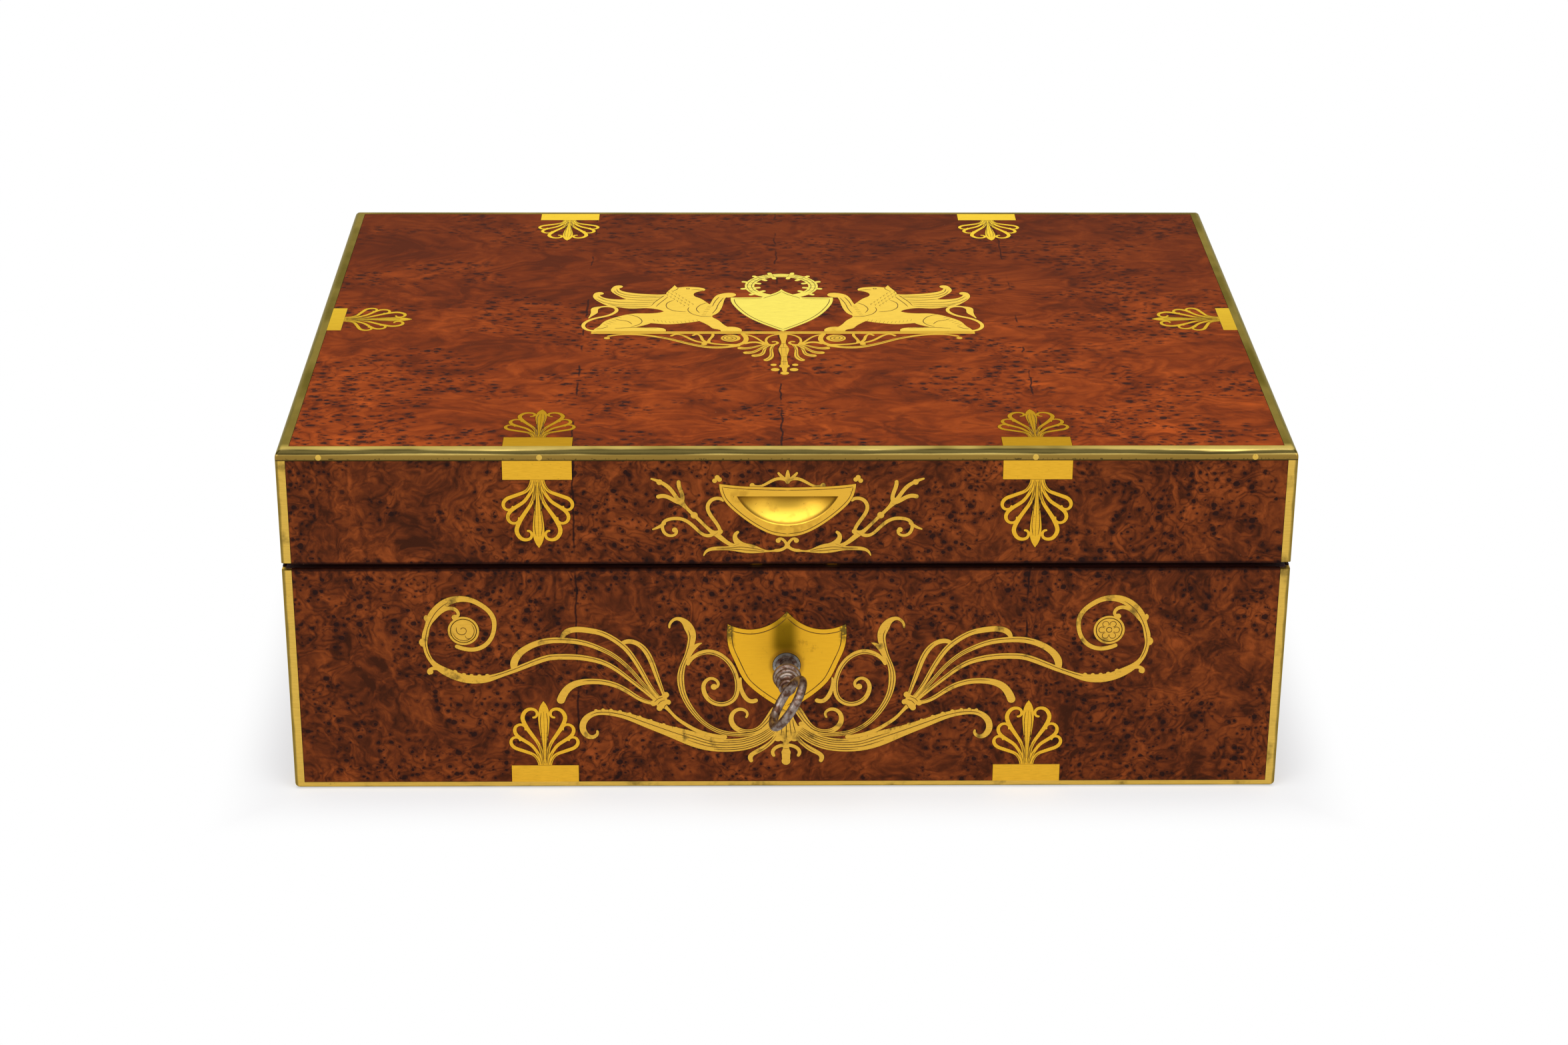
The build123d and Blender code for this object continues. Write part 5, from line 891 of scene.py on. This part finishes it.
# Wreath: two rings with ties, broken by the leaves
wreath_y = 42.3
for radius in (13.2, 15.1):
    top_lines.pair(arc(0, wreath_y, radius, 90, -38), 0.28)
for turn in (76, 62, 47, 33, 18, 5, -10, -25):
    x, y = toward(turn)
    top_lines.pair([(x * r, wreath_y + y * r) for r in (12.3, 14.0, 15.9)], 0.28)
# Bar, volutes, lobes and the spindle of the hanging foliage
top_lines.line([(-81, -16.6), (-40, -16.6), (0, -16.6), (40, -16.6), (81, -16.6)], 0.26)
top_lines.pair(arc(22.4, -23.3, 3.6, 100, -640, 0.5), 0.3)
lobes = [
    [(7, -31.5), (11.9, -33.6), (15.5, -35.4), (18.2, -35.2)],
    [(6.4, -32), (10.3, -36.7), (12.9, -39.9), (15.8, -40.7)],
    [(5.4, -32), (8.2, -37.3), (9.2, -42), (12.4, -44.2)],
    [(4.2, -32), (5.3, -38.3), (5.3, -44.6), (7.4, -49.2)],
    [(23.4, -33.4), (28.7, -34.2), (34.5, -32.9), (38.7, -30.7), (44, -27.1), (48.7, -23.9), (54, -21.3)],
]
for course in lobes:
    top_lines.pair(curve_through(course), 0.26)
for x, top, foot in ((0, -30, -34), (0.9, -35, -44), (0.3, -46, -55)):
    top_lines.pair([(x, top), (x, foot)], 0.28)
for y, reach in ((-29.6, 1.0), (-34.4, 1.9), (-45, 1.5), (-51, 1.2)):
    top_lines.line([(-reach, y), (0, y - 0.3), (reach, y)], 0.28)
top_lines.finish("crest_engraving", "lid")
spread_lines = Engraving(on_top)
for x in (-palmette_x, palmette_x):
    engrave_palmette(spread_lines, (x, -top_long_root), 90)
    engrave_palmette(spread_lines, (x, top_long_root), -90)
engrave_palmette(spread_lines, (-top_side_root, 0), 0)
engrave_palmette(spread_lines, (top_side_root, 0), 180)
spread_lines.finish("lid_top_engraving", "lid")


# Soft linings. They are flat where something presses on them and swell in between

def rounded(share):
    """From 0 to 1 along a quarter of a wave, level before and after."""
    return math.sin(min(1.0, max(0.0, share)) * math.pi / 2)


def swell(value, low, high, soft):
    """0 at low and high and 1 in between, with rounded shoulders of width soft."""
    return rounded(min(value - low, high - value) / soft)


def marks(low, high, step):
    """Even marks from low to high, about a step apart."""
    count = max(2, round((high - low) / step))
    return [low + (high - low) * i / count for i in range(count + 1)]


def soft_slab(name, xs, ys, base, shape, body):
    """Closed slab over a grid: one face at base, the other at shape(x, y), both in millimetres."""
    points = [(x * MM, y * MM, base * MM) for y in ys for x in xs]
    points += [(x * MM, y * MM, shape(x, y) * MM) for y in ys for x in xs]
    wide, tall = len(xs), len(ys)
    under = wide * tall
    faces = []
    for j in range(tall - 1):
        for i in range(wide - 1):
            a = j * wide + i
            faces.append((a, a + wide, a + wide + 1, a + 1))
            faces.append((under + a, under + a + 1, under + a + wide + 1, under + a + wide))
    rim = list(range(wide))
    rim += [j * wide + wide - 1 for j in range(1, tall)]
    rim += [(tall - 1) * wide + i for i in range(wide - 2, -1, -1)]
    rim += [j * wide for j in range(tall - 2, 0, -1)]
    for a, b in zip(rim, rim[1:] + rim[:1]):
        faces.append((a, b, under + b, under + a))
    made = mesh_piece(name, points, faces, lining, body, True)
    return made


def sewn(x, y, pitch):
    """Depth of the sewn lines of diamond quilting at a spot, from 0 on a line to 1 between lines."""
    across = abs(math.sin(math.pi * (x + y) / pitch))
    along = abs(math.sin(math.pi * (x - y) / pitch))
    return min(1.0, 2.2 * across) * min(1.0, 2.2 * along)


lining_low, lining_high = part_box("base_lining")
floor_x, floor_y, floor_top = [in_mm(value) for value in lining_high]
partition_front, partition_back = [in_mm(corner.y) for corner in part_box("long_partition")]
partition = 3.0
well_pitch = 74.76
flask_wells = (1, 2, 3)
last_well = 4
well_crown = 2.2
well_quilt = 22
well_shoulder = 9
floor_crown = 2.6
floor_quilt = 26
floor_shoulder = 12
floor_rim = 4


def floor_shape(x, y):
    """Floor lining: pressed flat under the partitions and the flasks, swelling in the open wells."""
    if y > partition_back:
        well = min(last_well, max(0, int((x + floor_x) / well_pitch)))
        low = -floor_x + well * well_pitch
        lift = swell(x, low, low + well_pitch - partition, well_shoulder)
        lift *= swell(y, partition_back, floor_y, well_shoulder)
        crown = 0.0 if well in flask_wells else well_crown
        return floor_top + crown * lift * (0.75 + 0.25 * sewn(x, y, well_quilt))
    if y < partition_front:
        lift = swell(x, -floor_x + floor_rim, floor_x - floor_rim, floor_shoulder)
        lift *= swell(y, -floor_y, partition_front, floor_shoulder)
        return floor_top + floor_crown * lift * (0.7 + 0.3 * sewn(x, y, floor_quilt))
    return floor_top


floor_pad = soft_slab("floor_pad", marks(-floor_x, floor_x, 3), marks(-floor_y, floor_y, 3),
                      in_mm(lining_low.z), floor_shape, "case")
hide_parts("base_lining")

ceiling_low, ceiling_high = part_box("lid_lining")
frame_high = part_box("mirror_frame")[1]
mirror_x, mirror_y = in_mm(frame_high.x), in_mm(frame_high.y)
lid_x, lid_y, ceiling_top = [in_mm(value) for value in ceiling_high]
ceiling_face = in_mm(ceiling_low.z)
lid_crown = 3.2
lid_quilt = 26
lid_shoulder = 10


def lid_shape(x, y):
    """Lid lining: flat under the mirror frame, swelling in the margin round it."""
    beside = max(abs(x) - mirror_x, abs(y) - mirror_y)
    reach = min(lid_x - abs(x), lid_y - abs(y))
    lift = rounded(beside / lid_shoulder) * rounded(reach / lid_shoulder)
    return ceiling_face - lid_crown * lift * (0.72 + 0.28 * sewn(x, y, lid_quilt))


lid_pad = soft_slab("lid_pad", marks(-lid_x, lid_x, 3), marks(-lid_y, lid_y, 3),
                    ceiling_top, lid_shape, "lid")
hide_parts("lid_lining")

# Pads in the four places of the lift-out tray
wall_low, wall_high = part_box("tray_walls")
tray_wall = 4.0
pad_gap = 0.4
divider = 61.67
divider_half = 1.5
rim_thickness = 1.2
pad_crown = 5.0
pad_quilt = 24
pad_shoulder = 14
tray_floor_top = in_mm(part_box("tray_floor")[1].z)
inside_x = in_mm(wall_high.x) - tray_wall
inside_front, inside_back = in_mm(wall_low.y) + tray_wall, in_mm(wall_high.y) - tray_wall
inside_middle = (inside_front + inside_back) / 2
side_x, centre_x = divider + divider_half, divider - divider_half
places = [
    ("tray_pad_left", -inside_x, -side_x, inside_front, inside_back),
    ("tray_pad_right", side_x, inside_x, inside_front, inside_back),
    ("tray_pad_front", -centre_x, centre_x, inside_front, inside_middle - divider_half),
    ("tray_pad_back", -centre_x, centre_x, inside_middle + divider_half, inside_back),
]


def tray_shape(x, y, x0, x1, y0, y1):
    """Loose pad, thick in the middle and thin at its rim, with diamond quilting."""
    lift = swell(x, x0 - 1.5, x1 + 1.5, pad_shoulder) * swell(y, y0 - 1.5, y1 + 1.5, pad_shoulder)
    return tray_floor_top + rim_thickness + pad_crown * lift * (0.68 + 0.32 * sewn(x, y, pad_quilt))


for name, x0, x1, y0, y1 in places:
    low_x, high_x, low_y, high_y = x0 + pad_gap, x1 - pad_gap, y0 + pad_gap, y1 - pad_gap
    soft_slab(name, marks(low_x, high_x, 2), marks(low_y, high_y, 2), tray_floor_top + 0.02,
              lambda x, y, span=(low_x, high_x, low_y, high_y): tray_shape(x, y, *span), "case")


# Floor, light and camera

def paper(name, shade, held, near, far):
    """Pale floor: it takes the shadow near the case, and shows white to the camera further out. held is
    the share of white at the case itself, which rises to all from near to far, in metres from it."""
    g = Graph(name)
    grey = (shade, shade, shade, 1)
    colour = g.mix(g.noise(g.place, 400), grey, faded(grey, 0.99))
    spot = g.split(g.place)
    beside = g.most(g.minus(g.size(spot[0]), cad_high.x), g.minus(g.size(spot[1]), cad_high.y))
    share = g.plus(held, g.times(g.step(beside, near, far), 1 - held))
    surface = g.node("ShaderNodeBsdfDiffuse", {"Color": colour}).outputs[0]
    white = g.node("ShaderNodeEmission", {"Color": (1, 1, 1, 1), "Strength": 1.0}).outputs[0]
    shown = g.node("ShaderNodeMixShader", {0: g.times(share, g.seen()), 1: surface, 2: white})
    return g.output(shown.outputs[0])


floor_half = 3.0
floor_corners = [(x * floor_half, y * floor_half, 0) for x, y in ((-1, -1), (1, -1), (1, 1), (-1, 1))]
sheet = bpy.data.meshes.new("floor")
sheet.from_pydata(floor_corners, [], [(0, 1, 2, 3)])
sheet.materials.append(paper("paper", 0.86, 0.5, 0.0, 0.035))
floor = added("floor", sheet)


def area_light(name, place, aim, size, power):
    """White light of two sides in metres and a power in watts."""
    lamp = bpy.data.lights.new(name, "AREA")
    lamp.shape = "RECTANGLE"
    lamp.size, lamp.size_y = size
    lamp.energy = power
    made = added(name, lamp)
    made.location = place
    made.rotation_euler = (Vector(aim) - Vector(place)).to_track_quat("-Z", "Y").to_euler()


area_light("overhead", (0.0, -0.35, 1.0), (0, 0, 0.1), (1.2, 0.8), 8)
area_light("front_left", (-1.3, -1.5, 1.1), (0, 0, 0.06), (1.0, 0.8), 7)
area_light("front_right", (1.3, -1.6, 0.9), (0, 0, 0.06), (1.0, 0.8), 5)


def studio(name):
    """World: pale cool fill light, and white for what is seen of it."""
    g = Graph(name, bpy.data.worlds)
    fill = g.node("ShaderNodeBackground", {"Color": (0.9, 0.93, 1.0, 1), "Strength": 0.4}).outputs[0]
    white = g.node("ShaderNodeBackground", {"Color": (1, 1, 1, 1), "Strength": 1.0}).outputs[0]
    blend = g.node("ShaderNodeMixShader", {0: g.seen(), 1: fill, 2: white})
    return g.output(blend.outputs[0], "ShaderNodeOutputWorld")


bpy.context.scene.world = studio("studio")

# Camera, solved from the corners of the box in the photograph
camera_place = Vector((-0.0204, -1.3092, 0.6325))
camera_down = math.radians(23.87)
camera_yaw = math.radians(0.94)
camera_roll = math.radians(0.31)
focal_pixels = 4837.0
picture_pixels = 2352.0
sensor_width = 36.0

ahead = Vector((math.sin(camera_yaw), math.cos(camera_yaw), 0))
forward = ahead * math.cos(camera_down) - Vector((0, 0, math.sin(camera_down)))
level = Vector((math.cos(camera_yaw), -math.sin(camera_yaw), 0))
upward = level.cross(forward)
right = level * math.cos(camera_roll) + upward * math.sin(camera_roll)
up = upward * math.cos(camera_roll) - level * math.sin(camera_roll)
lens = bpy.data.cameras.new("camera")
lens.sensor_width = sensor_width
lens.lens = focal_pixels / picture_pixels * sensor_width
camera = added("camera", lens)
axes = Matrix((right, up, -forward)).transposed()
camera.matrix_world = Matrix.Translation(camera_place) @ axes.to_4x4()
bpy.context.scene.camera = camera

bpy.context.scene.view_settings.view_transform = "Standard"
